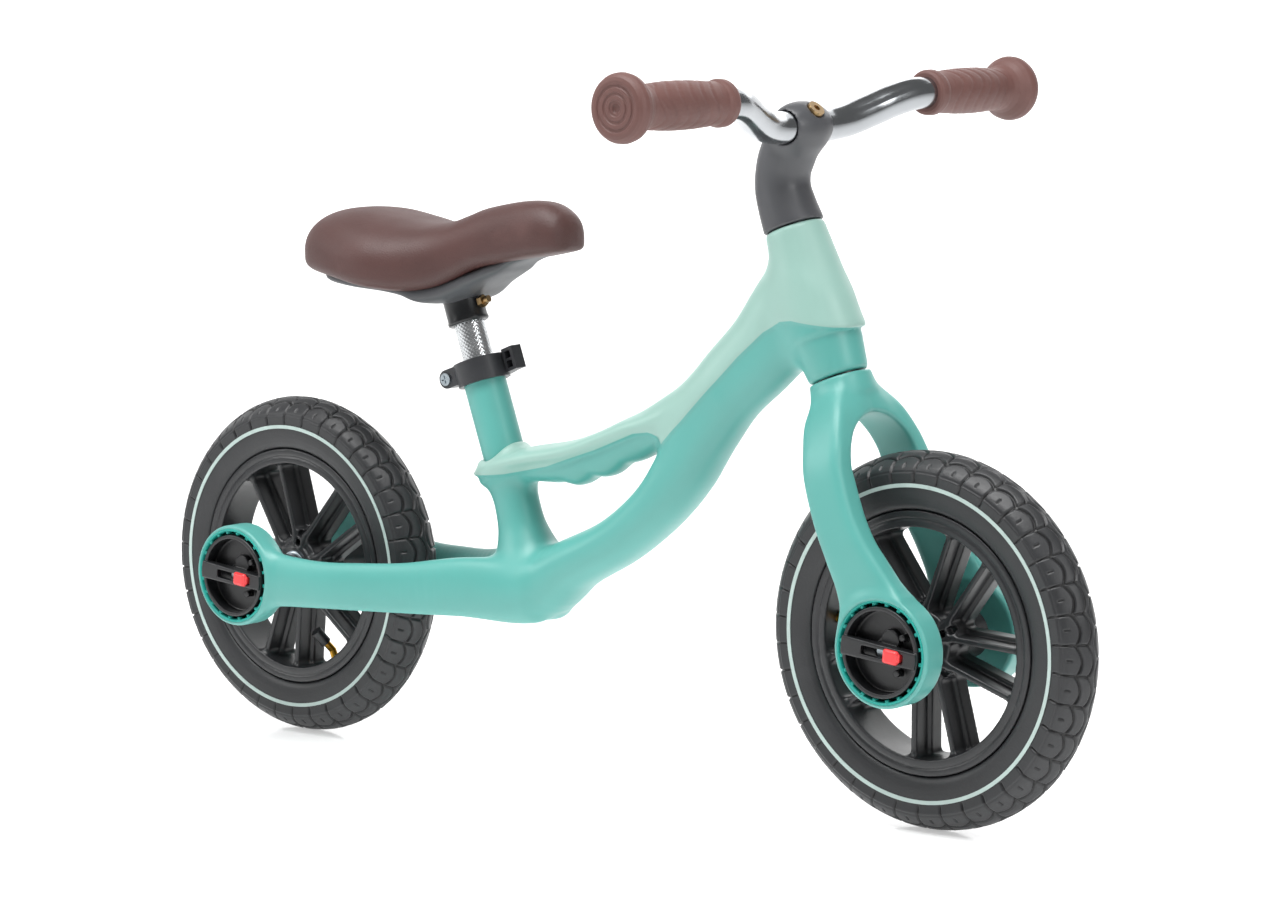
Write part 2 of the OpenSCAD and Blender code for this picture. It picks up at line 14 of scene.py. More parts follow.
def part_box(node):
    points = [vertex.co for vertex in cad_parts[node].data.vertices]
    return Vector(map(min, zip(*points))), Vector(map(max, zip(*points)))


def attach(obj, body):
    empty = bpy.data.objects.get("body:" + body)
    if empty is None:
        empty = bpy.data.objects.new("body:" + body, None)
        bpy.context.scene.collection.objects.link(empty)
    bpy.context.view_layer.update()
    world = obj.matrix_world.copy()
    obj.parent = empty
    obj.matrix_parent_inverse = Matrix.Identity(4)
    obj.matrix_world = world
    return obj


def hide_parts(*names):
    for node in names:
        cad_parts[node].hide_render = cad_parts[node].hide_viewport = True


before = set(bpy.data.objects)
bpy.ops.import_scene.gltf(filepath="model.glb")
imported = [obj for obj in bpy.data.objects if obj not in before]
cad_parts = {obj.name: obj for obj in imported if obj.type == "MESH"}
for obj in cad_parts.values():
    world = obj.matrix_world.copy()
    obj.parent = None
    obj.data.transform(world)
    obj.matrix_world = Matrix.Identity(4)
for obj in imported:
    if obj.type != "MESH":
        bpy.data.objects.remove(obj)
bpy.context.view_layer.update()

MM = 0.001
FAR = 40.0          # value of empty space in a block of clay
BLEND = 22.0        # how far round a shape its distances are worked out


def centre_mm(node):
    """Middle of a CAD node's box, in millimetres."""
    low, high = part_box(node)
    return (np.array(low) + np.array(high)) / 2 / MM


# ---------- places ----------

ENDS = ("front", "rear")
SIDES = ("right", "left")
RING_PAST_AXLE = 4          # an axle ring's face lies this far beyond the axle's end

# Read from the frame
WHEEL_R = (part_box("front_tire")[1].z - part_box("front_tire")[0].z) / 2 / MM
AXLES = {end: centre_mm(f"{end}_axle")[0] for end in ENDS}
RING_FACE = {end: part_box(f"{end}_axle")[1].y / MM + RING_PAST_AXLE for end in ENDS}
GRIP_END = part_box("grip_left")[1].y / MM
BAR_OUT = centre_mm("grip_left")

# Typed in: the axle rings, the head, the seat tube and the middle of the bar
RING_R, RECESS_R, RING_DEPTH, RECESS_DEPTH = 37.5, 33.75, 20, 15
HEAD_TOP = np.array([175.8, 0, 397.4])
HEAD_LEAN = math.radians(20.7)
HEAD_LENGTH = 106.8
SEAT_MID = np.array([-109.4, 0, 285])
SEAT_LEAN = math.radians(19.2)
BAR_MID = np.array([182.5, 0, 465])


def leaning(origin, lean, points):
    """Points given along a leaning tube (local +Z up it) as points of the frame."""
    p = np.asarray(points, float)
    x = p[..., 0] * math.cos(lean) - p[..., 2] * math.sin(lean)
    z = p[..., 0] * math.sin(lean) + p[..., 2] * math.cos(lean)
    return np.stack([origin[0] + x, origin[1] + p[..., 1], origin[2] + z], -1)


def up_of(lean):
    """The direction up a leaning tube."""
    return np.array([-math.sin(lean), 0, math.cos(lean)])


# ---------- clay: shapes as distances on a grid ----------

class Clay:
    """A block of grid points. A shape is an array of distances, below zero inside it."""

    def __init__(self, low, high, step):
        self.low, self.step = np.array(low, float), step
        self.count = np.ceil((np.array(high) - self.low) / step).astype(int) + 1
        axes = [self.low[i] + step * np.arange(self.count[i]) for i in range(3)]
        self.x, self.y, self.z = np.meshgrid(*axes, indexing="ij", sparse=True)

    def chain(self, rows, steps=6, power=2.3, soft=2.0):
        """Rounded sections along a route: a row is x, y, z, half height, half width."""
        made = np.full(self.count, FAR)
        rows = smooth(rows, steps)
        for a, b in zip(rows[:-1], rows[1:]):
            part = self.part_near(a, b)
            if part:
                made[part] = np.minimum(made[part], self.stretch(a, b, part, power))
        # The two ends are flat, with soft rims
        for end, inner in ((rows[0], rows[1]), (rows[-1], rows[-2])):
            out = (end - inner)[[0, 2]] / np.linalg.norm((end - inner)[[0, 2]])
            past = (self.x - end[0]) * out[0] + (self.z - end[2]) * out[1]
            made = rounded(made, past - soft, soft)
        return made

    def part_near(self, a, b):
        """The part of the block round two rows, as slices, or None."""
        reach = max(a[3:5].max(), b[3:5].max()) + BLEND
        low = (np.minimum(a[:3], b[:3]) - reach - self.low) // self.step
        high = (np.maximum(a[:3], b[:3]) + reach - self.low) // self.step + 2
        low = np.clip(low, 0, self.count).astype(int)
        high = np.clip(high, 0, self.count).astype(int)
        if (low >= high).any():
            return None
        return tuple(slice(i, j) for i, j in zip(low, high))

    def stretch(self, a, b, part, power):
        """Distances to the rounded solid between two rows, over a part of the block."""
        x, y, z = self.x[part[0]] - a[0], self.y[:, part[1]] - a[1], self.z[:, :, part[2]] - a[2]
        run = b[:3] - a[:3]
        flat = math.hypot(run[0], run[2])
        t = np.clip((x * run[0] + z * run[2]) / flat ** 2, 0, 1)
        x, y, z = x - t * run[0], y - t * run[1], z - t * run[2]
        tall, wide = a[3] + t * (b[3] - a[3]), a[4] + t * (b[4] - a[4])
        up = (z * run[0] - x * run[2]) / flat / tall
        past = (x * run[0] + z * run[2]) / flat / np.minimum(tall, wide)
        size = (np.abs(up) ** power + np.abs(y / wide) ** power + np.abs(past) ** power) ** (1 / power)
        far = np.sqrt(x * x + y * y + z * z)
        least = 0.05
        return np.where(size < least, -np.minimum(tall, wide), far - far / np.maximum(size, least))

    def rod(self, point, axis, radius, start, end, edge=1.0, cone=0.0):
        """A cylinder along an axis with rounded rims; cone widens it, per millimetre of its run."""
        x, y, z = self.x - point[0], self.y - point[1], self.z - point[2]
        along = x * axis[0] + y * axis[1] + z * axis[2]
        out = np.sqrt(np.maximum(x * x + y * y + z * z - along * along, 0))
        return rounded(out - radius - cone * (along - start), np.maximum(start - along, along - end), edge)

    def block(self, middle, half, edge=1.0, turn=0.0):
        """A box with rounded edges, turned about Y by an angle in radians."""
        x, y, z = self.x - middle[0], self.y - middle[1], self.z - middle[2]
        x, z = x * math.cos(turn) + z * math.sin(turn), z * math.cos(turn) - x * math.sin(turn)
        d = [np.abs(v) - h + edge for v, h in zip((x, y, z), half)]
        outside = np.sqrt(sum(np.maximum(v, 0) ** 2 for v in d))
        return outside + np.minimum(np.maximum(np.maximum(d[0], d[1]), d[2]), 0) - edge

    def egg(self, middle, radii):
        """An ellipsoid; its distances are only rough."""
        x, y, z = self.x - middle[0], self.y - middle[1], self.z - middle[2]
        size = np.sqrt((x / radii[0]) ** 2 + (y / radii[1]) ** 2 + (z / radii[2]) ** 2)
        return (size - 1) * min(radii)

    def past_head_top(self):
        """How far each point lies past the head's top, along the steering axis."""
        axis = up_of(HEAD_LEAN)
        return (self.x - HEAD_TOP[0]) * axis[0] + (self.z - HEAD_TOP[2]) * axis[2]


def rounded(a, b, edge):
    """Where both distances hold, with the edge between them rounded."""
    a, b = a + edge, b + edge
    return np.hypot(np.maximum(a, 0), np.maximum(b, 0)) + np.minimum(np.maximum(a, b), 0) - edge


def join(a, b, fillet=0.0):
    """Both shapes, with a fillet where they meet."""
    if fillet == 0:
        return np.minimum(a, b)
    h = np.clip(0.5 + 0.5 * (b - a) / fillet, 0, 1)
    return b + (a - b) * h - fillet * h * (1 - h)


def cut(a, b, edge=0.0):
    """The first shape without the second."""
    return -join(-a, b, edge)


def smooth(rows, steps):
    """Rows with smooth ones worked out between them."""
    rows = np.asarray(rows, float)
    padded = np.vstack([rows[:1], rows, rows[-1:]])
    made = []
    for p, q, r, s in zip(padded[:-3], padded[1:-2], padded[2:-1], padded[3:]):
        for t in np.arange(steps) / steps:
            made.append(0.5 * (2 * q + (r - p) * t + (2 * p - 5 * q + 4 * r - s) * t * t
                               + (3 * q - p - 3 * r + s) * t ** 3))
    return np.array(made + [rows[-1]])


def soften(values, times):
    """Averages each grid point with its neighbours, which eases creases."""
    for _ in range(times):
        for axis in range(3):
            v = np.moveaxis(values, axis, 0)
            mid = (v[:-2] + 2 * v[1:-1] + v[2:]) / 4
            v = np.concatenate([v[:1], mid, v[-1:]])
            values = np.moveaxis(v, 0, axis)
    return values


def two_sided(values):
    """A shape made for y >= 0 with its mirror image."""
    return np.concatenate([values[:, :0:-1], values], axis=1)


CORNERS = [(i, j, k) for i in (0, 1) for j in (0, 1) for k in (0, 1)]


def sample(values, at):
    """Values between grid points, and their slope, at positions counted in steps."""
    base = np.clip(np.floor(at).astype(int), 0, np.array(values.shape) - 2)
    f = at - base
    total, slope = 0, [0, 0, 0]
    for corner in CORNERS:
        v = values[tuple((base + corner).T)]
        w = [f[:, n] if corner[n] else 1 - f[:, n] for n in range(3)]
        total = total + v * w[0] * w[1] * w[2]
        for axis in range(3):
            others = [w[n] for n in range(3) if n != axis]
            slope[axis] = slope[axis] + v * (1 if corner[axis] else -1) * others[0] * others[1]
    return total, np.stack(slope, -1)


def first_points(values, crossed):
    """In each crossed cell, the mean of its edges' crossings."""
    held = {c: values[tuple((crossed + c).T)] for c in CORNERS}
    total, count = np.zeros((len(crossed), 3)), np.zeros(len(crossed))
    for a in CORNERS:
        for axis in range(3):
            if a[axis]:
                continue
            b = tuple(a[n] + (n == axis) for n in range(3))
            va, vb = held[a], held[b]
            across = (va < 0) != (vb < 0)
            t = np.where(across, va / np.where(across, va - vb, 1), 0)
            point = np.array(a, float) + t[:, None] * (np.arange(3) == axis)
            total += np.where(across[:, None], point, 0)
            count += across
    return crossed + total / count[:, None]


def onto_surface(values, at):
    """Points moved along the slope towards the surface."""
    for _ in range(2):
        value, slope = sample(values, at)
        move = slope * (value / np.maximum((slope ** 2).sum(1), 1e-6))[:, None]
        at -= np.clip(move, -0.4, 0.4)
    return at


def quads_across(inside, number):
    """A quad across each grid edge with one end inside, between the four cells round it."""
    cells = np.array(number.shape)
    faces = []
    for axis in range(3):
        first = np.moveaxis(inside, axis, 0)
        edge = np.argwhere(np.moveaxis(first[:-1] != first[1:], 0, axis))
        e1, e2 = np.eye(3, dtype=int)[(axis + 1) % 3], np.eye(3, dtype=int)[(axis + 2) % 3]
        keep = (edge @ e1 > 0) & (edge @ e2 > 0) & (edge @ e1 < cells @ e1) & (edge @ e2 < cells @ e2)
        edge = edge[keep]
        quad = np.stack([number[tuple((edge - d).T)] for d in (0 * e1, e1, e1 + e2, e2)], -1)
        solid = inside[tuple(edge.T)]
        faces.append(np.where(solid[:, None], quad, quad[:, ::-1]))
    return np.concatenate(faces)


def skin(values, low, step):
    """A quad mesh of a shape's surface: one point in each cell that the surface crosses."""
    inside = values < 0
    cells = np.array(values.shape) - 1
    some, every = np.zeros(cells, bool), np.ones(cells, bool)
    for i, j, k in CORNERS:
        here = inside[i:i + cells[0], j:j + cells[1], k:k + cells[2]]
        some |= here
        every &= here
    crossed = np.argwhere(some & ~every)
    number = np.full(cells, -1)
    number[tuple(crossed.T)] = np.arange(len(crossed))
    at = onto_surface(values, first_points(values, crossed))
    return low + at * step, quads_across(inside, number)


def two_sided_skin(clay, shape):
    """The mesh of a shape made for y >= 0, with its mirror image."""
    low = clay.low - [0, (clay.count[1] - 1) * clay.step, 0]
    return skin(two_sided(shape), low, clay.step)


# ---------- meshes ----------

def net(points, round_a=True, round_b=False, caps=False):
    """Quads over a grid of points; round_a and round_b close the grid on itself."""
    a, b = points.shape[:2]
    along_a = np.arange(a if round_a else a - 1)
    along_b = np.arange(b if round_b else b - 1)
    i, j = np.meshgrid(along_a, along_b, indexing="ij")
    i2, j2 = (i + 1) % a, (j + 1) % b
    quads = np.stack([i * b + j, i2 * b + j, i2 * b + j2, i * b + j2], -1).reshape(-1, 4)
    faces = quads.tolist()
    if caps:
        faces += [[n * b for n in range(a)][::-1], [n * b + b - 1 for n in range(a)]]
    return points.reshape(-1, 3), faces


def circle(steps):
    """Even angles round a circle, as a column."""
    return np.linspace(0, 2 * math.pi, steps, endpoint=False)[:, None]


def turned(profile, steps=96, closed=False):
    """A profile of (radius, y) turned about the Y axis, with caps unless it is closed."""
    profile = np.asarray(profile, float)
    a = circle(steps)
    r, y = profile[:, 0][None], profile[:, 1][None]
    points = np.stack([r * np.cos(a), y + 0 * a, -r * np.sin(a)], -1)
    return net(points, True, closed, caps=not closed)


def swept(route, radius, sides):
    """A round bar along a route, with capped ends."""
    route = np.asarray(route, float)
    run = np.gradient(route, axis=0)
    run /= np.linalg.norm(run, axis=1)[:, None]
    side = np.cross(run, [0, 0, 1.0])
    side /= np.linalg.norm(side, axis=1)[:, None]
    up = np.cross(side, run)
    a = circle(sides)[:, None]
    points = route[None] + radius * (np.cos(a) * side[None] + np.sin(a) * up[None])
    return net(points, caps=True)


def listed(faces):
    """Faces as plain lists."""
    return faces.tolist() if isinstance(faces, np.ndarray) else faces


def merged(*meshes):
    """Several (points, faces) as one."""
    points, faces, start = [], [], 0
    for p, f in meshes:
        points.append(np.asarray(p, float))
        faces += [[n + start for n in face] for face in listed(f)]
        start += len(p)
    return np.concatenate(points), faces


def moved(mesh, by=(0, 0, 0), turn=0.0, mirror=False):
    """A mesh turned about Y, then shifted; mirror flips it across the middle plane first."""
    points, faces = mesh
    p = np.array(points, float)
    faces = listed(faces)
    if mirror:
        p[:, 1] *= -1
        faces = [face[::-1] for face in faces]
    c, s = math.cos(turn), math.sin(turn)
    p = np.stack([p[:, 0] * c - p[:, 2] * s, p[:, 1], p[:, 0] * s + p[:, 2] * c], -1)
    return p + np.array(by, float), faces


def piece(name, mesh, body, material, replaces=(), paint_and_shade=None):
    """Makes a shown object of a mesh in millimetres, riding on a body."""
    points, faces = mesh
    data = bpy.data.meshes.new(name)
    data.from_pydata((np.asarray(points) * MM).tolist(), [], listed(faces))
    data.validate()
    made = bmesh.new()
    made.from_mesh(data)
    bmesh.ops.recalc_face_normals(made, faces=made.faces)
    made.to_mesh(data)
    made.free()
    data.polygons.foreach_set("use_smooth", np.ones(len(data.polygons), bool))
    # The zone value per point picks a material's second colour: the frame's mint paint, and on the tyre the
    # rubber outside the painted-shade grooves.
    if paint_and_shade is not None:
        layer = data.attributes.new("paint_and_shade", "FLOAT", "POINT")
        layer.data.foreach_set("value", np.asarray(paint_and_shade, np.float32))
    thing = bpy.data.objects.new(name, data)
    bpy.context.scene.collection.objects.link(thing)
    data.materials.append(material)
    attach(thing, body)
    if replaces:
        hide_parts(*replaces)
    return thing


# ---------- materials ----------

def linear(colour):
    """A six-digit sRGB colour as linear values."""
    parts = [int(colour[i:i + 2], 16) / 255 for i in (1, 3, 5)]
    return [v / 12.92 if v <= 0.04045 else ((v + 0.055) / 1.055) ** 2.4 for v in parts] + [1]


class Finish:
    """A procedural material: colour that varies a little, uneven gloss, fine grain."""

    def __init__(self, name, colour, rough=0.45, metal=0.0, coat=0.0, vary=0.06, patch=30,
                 grain=900, bump=0.03, second=None):
        self.name = name
        self.material = bpy.data.materials.new(name)
        self.material.use_nodes = True
        self.tree = self.material.node_tree
        self.shader = self.tree.nodes["Principled BSDF"]
        for name, value in (("Metallic", metal), ("Coat Weight", coat), ("Coat Roughness", 0.35)):
            self.shader.inputs[name].default_value = value
        self.where = self.add("ShaderNodeTexCoord").outputs["Object"]
        base = self.varied(colour, patch, vary)
        if second:
            base = self.mix(self.painted(), base, self.varied(second, patch, vary))
        self.link(base, self.shader.inputs["Base Color"])
        self.base = base
        gloss = self.add("ShaderNodeMapRange")
        gloss.inputs["To Min"].default_value = max(rough - 0.07, 0.02)
        gloss.inputs["To Max"].default_value = rough + 0.09
        self.link(self.noise(patch * 2.3, 4), gloss.inputs["Value"])
        self.link(gloss.outputs[0], self.shader.inputs["Roughness"])
        self.bump_from(self.noise(grain, 3), bump)

    def glow(self, strength):
        self.shader.inputs["Emission Color"].default_value = (1, 1, 1, 1)
        self.shader.inputs["Emission Strength"].default_value = strength

    def add(self, kind, **settings):
        node = self.tree.nodes.new(kind)
        for key, value in settings.items():
            setattr(node, key, value)
        return node

    def link(self, a, b):
        self.tree.links.new(a, b)

    def noise(self, scale, detail=2):
        node = self.add("ShaderNodeTexNoise")
        node.inputs["Scale"].default_value = scale
        node.inputs["Detail"].default_value = detail
        self.link(self.where, node.inputs["Vector"])
        return node.outputs["Fac"]

    def varied(self, colour, scale, amount):
        """A colour that drifts a little lighter and darker over the surface."""
        ramp = self.add("ShaderNodeValToRGB")
        tone = np.array(linear(colour)[:3])
        for stop, k in zip(ramp.color_ramp.elements, (1 - amount, 1 + amount)):
            stop.color = [*np.clip(tone * k, 0, 1), 1]
        ramp.color_ramp.elements[0].position = 0.3
        ramp.color_ramp.elements[1].position = 0.7
        self.link(self.noise(scale, 5), ramp.inputs[0])
        return ramp.outputs[0]

    def painted(self):
        """1 where the mesh's zone value is above zero, 0 below it; it splits the frame's two-tone paint, and
        marks the tyre's grooves, which are painted darker as painted shade.
        """
        value = self.add("ShaderNodeAttribute", attribute_name="paint_and_shade").outputs["Fac"]
        edge = self.add("ShaderNodeMapRange")
        edge.inputs["From Min"].default_value = -0.25
        edge.inputs["From Max"].default_value = 0.25
        self.link(value, edge.inputs["Value"])
        return edge.outputs[0]

    def mix(self, factor, a, b):
        """Colour a where the factor is 0, colour b where it is 1."""
        node = self.add("ShaderNodeMix", data_type="RGBA")
        self.link(factor, node.inputs[0])
        self.link(a, node.inputs[6])
        self.link(b, node.inputs[7])
        return node.outputs[2]

    def bump_from(self, height, strength):
        """Adds relief on top of any that is there."""
        node = self.add("ShaderNodeBump")
        node.inputs["Strength"].default_value = strength
        node.inputs["Distance"].default_value = 0.001
        self.link(height, node.inputs["Height"])
        before = self.shader.inputs["Normal"].links
        if before:
            self.link(before[0].from_socket, node.inputs["Normal"])
        self.link(node.outputs[0], self.shader.inputs["Normal"])
        return self

    def cells(self, scale, strength):
        """Leather or pebble grain."""
        node = self.add("ShaderNodeTexVoronoi", feature="DISTANCE_TO_EDGE")
        node.inputs["Scale"].default_value = scale
        self.link(self.where, node.inputs["Vector"])
        return self.bump_from(node.outputs["Distance"], strength)

    def scuffs(self, tone, amount=0.5, scale=70):
        """Faint rubbed marks of another tone."""
        ramp = self.add("ShaderNodeValToRGB")
        ramp.color_ramp.elements[0].position = 0.62
        ramp.color_ramp.elements[1].position = 0.78
        ramp.color_ramp.elements[1].color = [amount] * 3 + [1]
        self.link(self.noise(scale, 8), ramp.inputs[0])
        colour = self.add("ShaderNodeRGB")
        colour.outputs[0].default_value = linear(tone)
        self.base = self.mix(ramp.outputs[0], self.base, colour.outputs[0])
        self.link(self.base, self.shader.inputs["Base Color"])
        return self


TEAL, MINT = "#56a39b", "#90b5ab"
LOOK = {made.name: made.material for made in (
    Finish("shell", TEAL, 0.42, coat=0.3, second=MINT, vary=0.035, patch=14, bump=0.02, grain=1400),
    Finish("teal", TEAL, 0.42, coat=0.3, vary=0.035, patch=14, bump=0.02, grain=1400),
    # The recess lining is a darker, deeper teal than the shell: painted shade inside the axle rings.
    Finish("recess", "#109a8e", 0.5, vary=0.05, patch=60, bump=0.03),
    Finish("charcoal", "#47484b", 0.4, vary=0.08, grain=1600, bump=0.05).scuffs("#525357", 0.3),
    Finish("wheel", "#27282a", 0.34, vary=0.08, grain=1300, bump=0.05).scuffs("#303134", 0.35),
    Finish("lock", "#1b1c1e", 0.32, vary=0.1, grain=1500, bump=0.05).scuffs("#2c2d30", 0.3, 150),
    Finish("clamp", "#2d2e31", 0.4, vary=0.1, grain=1200, bump=0.08).scuffs("#4a4b4f", 0.3, 150),
    # The tyre's near-black first colour shows on the grooves' floors as painted shade; the second colour is
    # the rubber's own dark grey.
    Finish("tyre", "#0b0b0c", 0.42, second="#27282a", vary=0.1, patch=22, grain=700,
           bump=0.12).scuffs("#3a3b3d", 0.3, 45),
    Finish("band", "#b4c6c1", 0.4, vary=0.06, patch=90, bump=0.04).scuffs("#8f9d99", 0.4, 120),
    Finish("leather", "#4a2f2c", 0.52, vary=0.12, patch=18, grain=300,
           bump=0.1).cells(520, 0.22).scuffs("#6a4b48", 0.25, 30),
    Finish("shell_dark", "#48494c", 0.5, vary=0.08, grain=1100, bump=0.1),
    Finish("grip", "#65443f", 0.55, vary=0.08, patch=35, grain=800, bump=0.1).scuffs("#755149", 0.25, 60),
    Finish("chrome", "#a6a9ac", 0.17, metal=1.0, vary=0.04, patch=25, grain=500, bump=0.01),
    Finish("zinc", "#aab4ba", 0.3, metal=1.0, vary=0.12, patch=240, grain=900, bump=0.05),
    Finish("knurled", "#d6d9db", 0.24, metal=1.0, vary=0.08, patch=120, grain=1200, bump=0.05),
    Finish("bronze", "#a58a63", 0.34, metal=1.0, vary=0.15, patch=300, grain=900, bump=0.05),
    Finish("brass", "#d09c3a", 0.28, metal=1.0, vary=0.12, patch=200, grain=900, bump=0.04),
    Finish("red", "#e8393c", 0.32, coat=0.2, vary=0.05, patch=120, grain=900, bump=0.04),
)}


# ---------- camera, light, floor ----------

CAMERA_PLACE = Vector((1.7966, -2.1160, 0.5704))
CAMERA_ROLL = math.radians(-0.59)
BIKE_MIDDLE = Vector((0, 0, 0.25))
WHITE = (1, 1, 1, 1)
SHEET_COLOUR = "#f4f4f4"


def camera_set(scene):
    camera = bpy.data.objects.new("camera", bpy.data.cameras.new("camera"))
    scene.collection.objects.link(camera)
    scene.camera = camera
    camera.data.sensor_width = 36
    camera.data.lens = 111.26
    camera.data.shift_x, camera.data.shift_y = 0.0333, -0.0195
    back = (CAMERA_PLACE - BIKE_MIDDLE).normalized()
    level = Vector((0, 0, 1)).cross(back).normalized()
    upright = back.cross(level)
    c, s = math.cos(CAMERA_ROLL), math.sin(CAMERA_ROLL)
    right, up = level * c + upright * s, upright * c - level * s
    turn = Matrix((right, up, back)).transposed().to_4x4()
    camera.matrix_world = Matrix.Translation(CAMERA_PLACE) @ turn


def lamp(name, at, aim, size, power):
    """A rectangle of light at a place, aimed at another."""
    light = bpy.data.lights.new(name, "AREA")
    light.shape, light.size, light.size_y, light.energy = "RECTANGLE", size[0], size[1], power
    thing = bpy.data.objects.new(name, light)
    bpy.context.scene.collection.objects.link(thing)
    thing.location = at
    thing.rotation_euler = (Vector(aim) - Vector(at)).to_track_quat("-Z", "Y").to_euler()


def light_set(scene):
    world = bpy.data.worlds.new("studio")
    scene.world = world
    world.use_nodes = True
    background = world.node_tree.nodes["Background"]
    background.inputs["Color"].default_value = WHITE
    background.inputs["Strength"].default_value = 0.2
    lamp("key", (0.1, -0.7, 2.4), (0, 0, 0.25), (2.2, 1.4), 78)
    lamp("left", (-2.2, -1.8, 1.5), (0, 0, 0.25), (0.9, 1.6), 24)
    lamp("front", (2.6, -0.2, 1.3), (0.1, 0, 0.25), (0.8, 1.2), 20)
    lamp("back", (-0.4, 2.2, 1.6), (0, 0, 0.3), (2.2, 1.2), 14)


def sheet(name, corners, finish):
    """A flat sheet between four corners."""
    data = bpy.data.meshes.new(name)
    data.from_pydata(corners, [], [(0, 1, 2, 3)])
    thing = bpy.data.objects.new(name, data)
    bpy.context.scene.collection.objects.link(thing)
    data.materials.append(finish.material)
    return thing


def floor_set():
    size = 14.0
    ground = Finish("floor", SHEET_COLOUR, 0.14, vary=0.003, patch=3, bump=0.0)
    ground.shader.inputs["Specular IOR Level"].default_value = 0.35
    ground.glow(0.42)
    floor = sheet("floor", [(-size, -size, 0), (size, -size, 0), (size, size, 0), (-size, size, 0)], ground)


def backdrop_set():
    """A bright sheet behind the bike, square to the camera."""
    away = Vector((CAMERA_PLACE.x, CAMERA_PLACE.y, 0)).normalized()
    along = Vector((-away.y, away.x, 0))
    behind, half, low, high = away * -5, 7, -0.1, 4
    corners = [tuple(behind + along * w + Vector((0, 0, h)))
               for w, h in ((-half, low), (half, low), (half, high), (-half, high))]
    paper = Finish("backdrop", SHEET_COLOUR, 0.9, vary=0.003, patch=3, bump=0.0)
    paper.glow(0.75)
    backdrop = sheet("backdrop", corners, paper)


def stage_set():
    scene = bpy.context.scene
    scene.view_settings.view_transform = "Standard"
    camera_set(scene)
    light_set(scene)
    floor_set()
    backdrop_set()


stage_set()


# ---------- frame ----------

# The frame is mint above this line of (x, z) and teal below it
PAINT_LINE = np.array([[-116, 206], [-104, 209.5], [-72, 213], [-34, 221], [11, 236], [47, 250], [60, 251.8],
                       [68, 249.5], [73, 244.5], [93, 262], [118, 286], [142, 309], [164, 327], [180, 335],
                       [192, 336.5], [214, 334], [231, 332], [250, 334]])
# The frame's members, as rows of x, y, z, half height, half width
MAIN_BEAM = [[194, 0, 364, 17, 17], [182, 0, 347, 33, 20], [151, 0, 313, 29.5, 20.5],
             [120.2, 0, 285, 27.3, 21.5], [96.5, 0, 254.7, 26, 22.5], [79, 0, 225, 22, 23.5],
             [56, 0, 198, 18.5, 24.5], [21, 0, 171.5, 17.5, 25.5], [-20, 0, 151, 19, 27],
             [-55, 0, 131, 24, 30], [-90, 0, 127, 22, 30], [-108, 0, 126, 17, 24]]
GRAB_BAR = [[120, 0, 285, 20, 19], [85, 0, 268, 17, 18.5], [57, 0, 253, 16.2, 17], [36, 0, 244, 15.3, 16],
            [11, 0, 233, 15, 16], [-19, 0, 224, 15.3, 17], [-55, 0, 219.5, 13.5, 17], [-84, 0, 217, 9, 16]]
CROWN_LID = [[82, 0, 270, 5, 15], [57, 0, 257.5, 8, 18.5], [36, 0, 251.5, 7.5, 20],
             [11, 0, 242, 6.5, 20.5], [-19, 0, 232, 6.5, 22], [-55, 0, 225, 6.5, 23.5],
             [-78, 0, 219, 6, 23], [-98, 0, 212.5, 4.5, 17], [-115, 0, 208.5, 1.6, 6]]
POST_SHROUD = [[-84.5, 0, 214, 22.5, 19], [-81, 0, 206, 20, 17.2], [-77, 0, 192, 17.2, 16.5],
               [-71, 0, 170, 18, 17.5], [-64, 0, 146, 24, 24]]
POST_COLLAR = [[-90.6, 0, 231, 15.8, 15.8], [-88.2, 0, 224, 18, 17.5], [-85.7, 0, 217, 20.5, 19.5],
               [-83.3, 0, 210, 23, 20]]
# The collar round the seat tube ends below this line, low at the back and high in front
COLLAR_TOP = np.array([[-116, 208.5], [-107.3, 220.5], [-92, 220], [-84, 223.5], [-81, 227], [-77.5, 232],
                       [-74, 237], [-71, 242], [-68, 250]])
REAR_ARM = [[-48, 14, 130, 20, 12], [-75, 22, 130.5, 21.5, 13], [-105, 31.5, 130, 21.5, 11.5],
            [-145, 44, 126.8, 18.7, 9.2], [-180, 54, 125.6, 17.8, 8.6], [-215, 62.5, 125, 17.5, 9],
            [-252, 68, 126, 20, 9.5], [-275, 68.5, 127, 26, 9.8]]


# The finger bumps: their first valley, pitch along X and depth
BUMP_FIRST, BUMP_PITCH, BUMP_DEPTH = -57.2, 29.3, 3.2
BUMPS = 4
# The head shell is widest at its foot; the neck below it is widest at its top
HEAD_R, HEAD_LOW, HEAD_TAPER = 27.8, -79, -0.092
NECK_R, NECK_HIGH, NECK_TAPER = 21.3, -78, 0.14
HEAD_BACK = 172             # the head's ends are trimmed only in front of this x
CROWN_BACK = -125           # the step under the crown ends at this x
ALONG_Y = (0, 1, 0)


def dropout(clay, shape, end):
    """Adds the axle ring of the y >= 0 side, with its recess."""
    face, middle = RING_FACE[end], (AXLES[end], 0, WHEEL_R)
    ring = clay.rod(middle, ALONG_Y, RING_R, face - RING_DEPTH, face, 2.2)
    recess = clay.rod(middle, ALONG_Y, RECESS_R + 0.6, face - RECESS_DEPTH, face + 9, 0.8)
    return cut(join(join(shape, ring, 9), ring), recess, 0.8)


def finger_bumps(clay, bar):
    """The grab bar with bumps under it, the rear one only partly there."""
    wave = np.abs(np.sin(math.pi * (clay.x - BUMP_FIRST) / BUMP_PITCH))
    under = np.interp(clay.x, [-42, 60], [203, 236]) - clay.z
    front = BUMP_FIRST + BUMPS * BUMP_PITCH
    zone = np.clip((clay.x + 44) / 8, 0, 1) * np.clip((front - clay.x) / 6, 0, 1)
    near = np.clip((under + 4) / 8, 0, 1)
    return bar - BUMP_DEPTH * wave * zone * near * np.clip((26 - under) / 8, 0, 1)


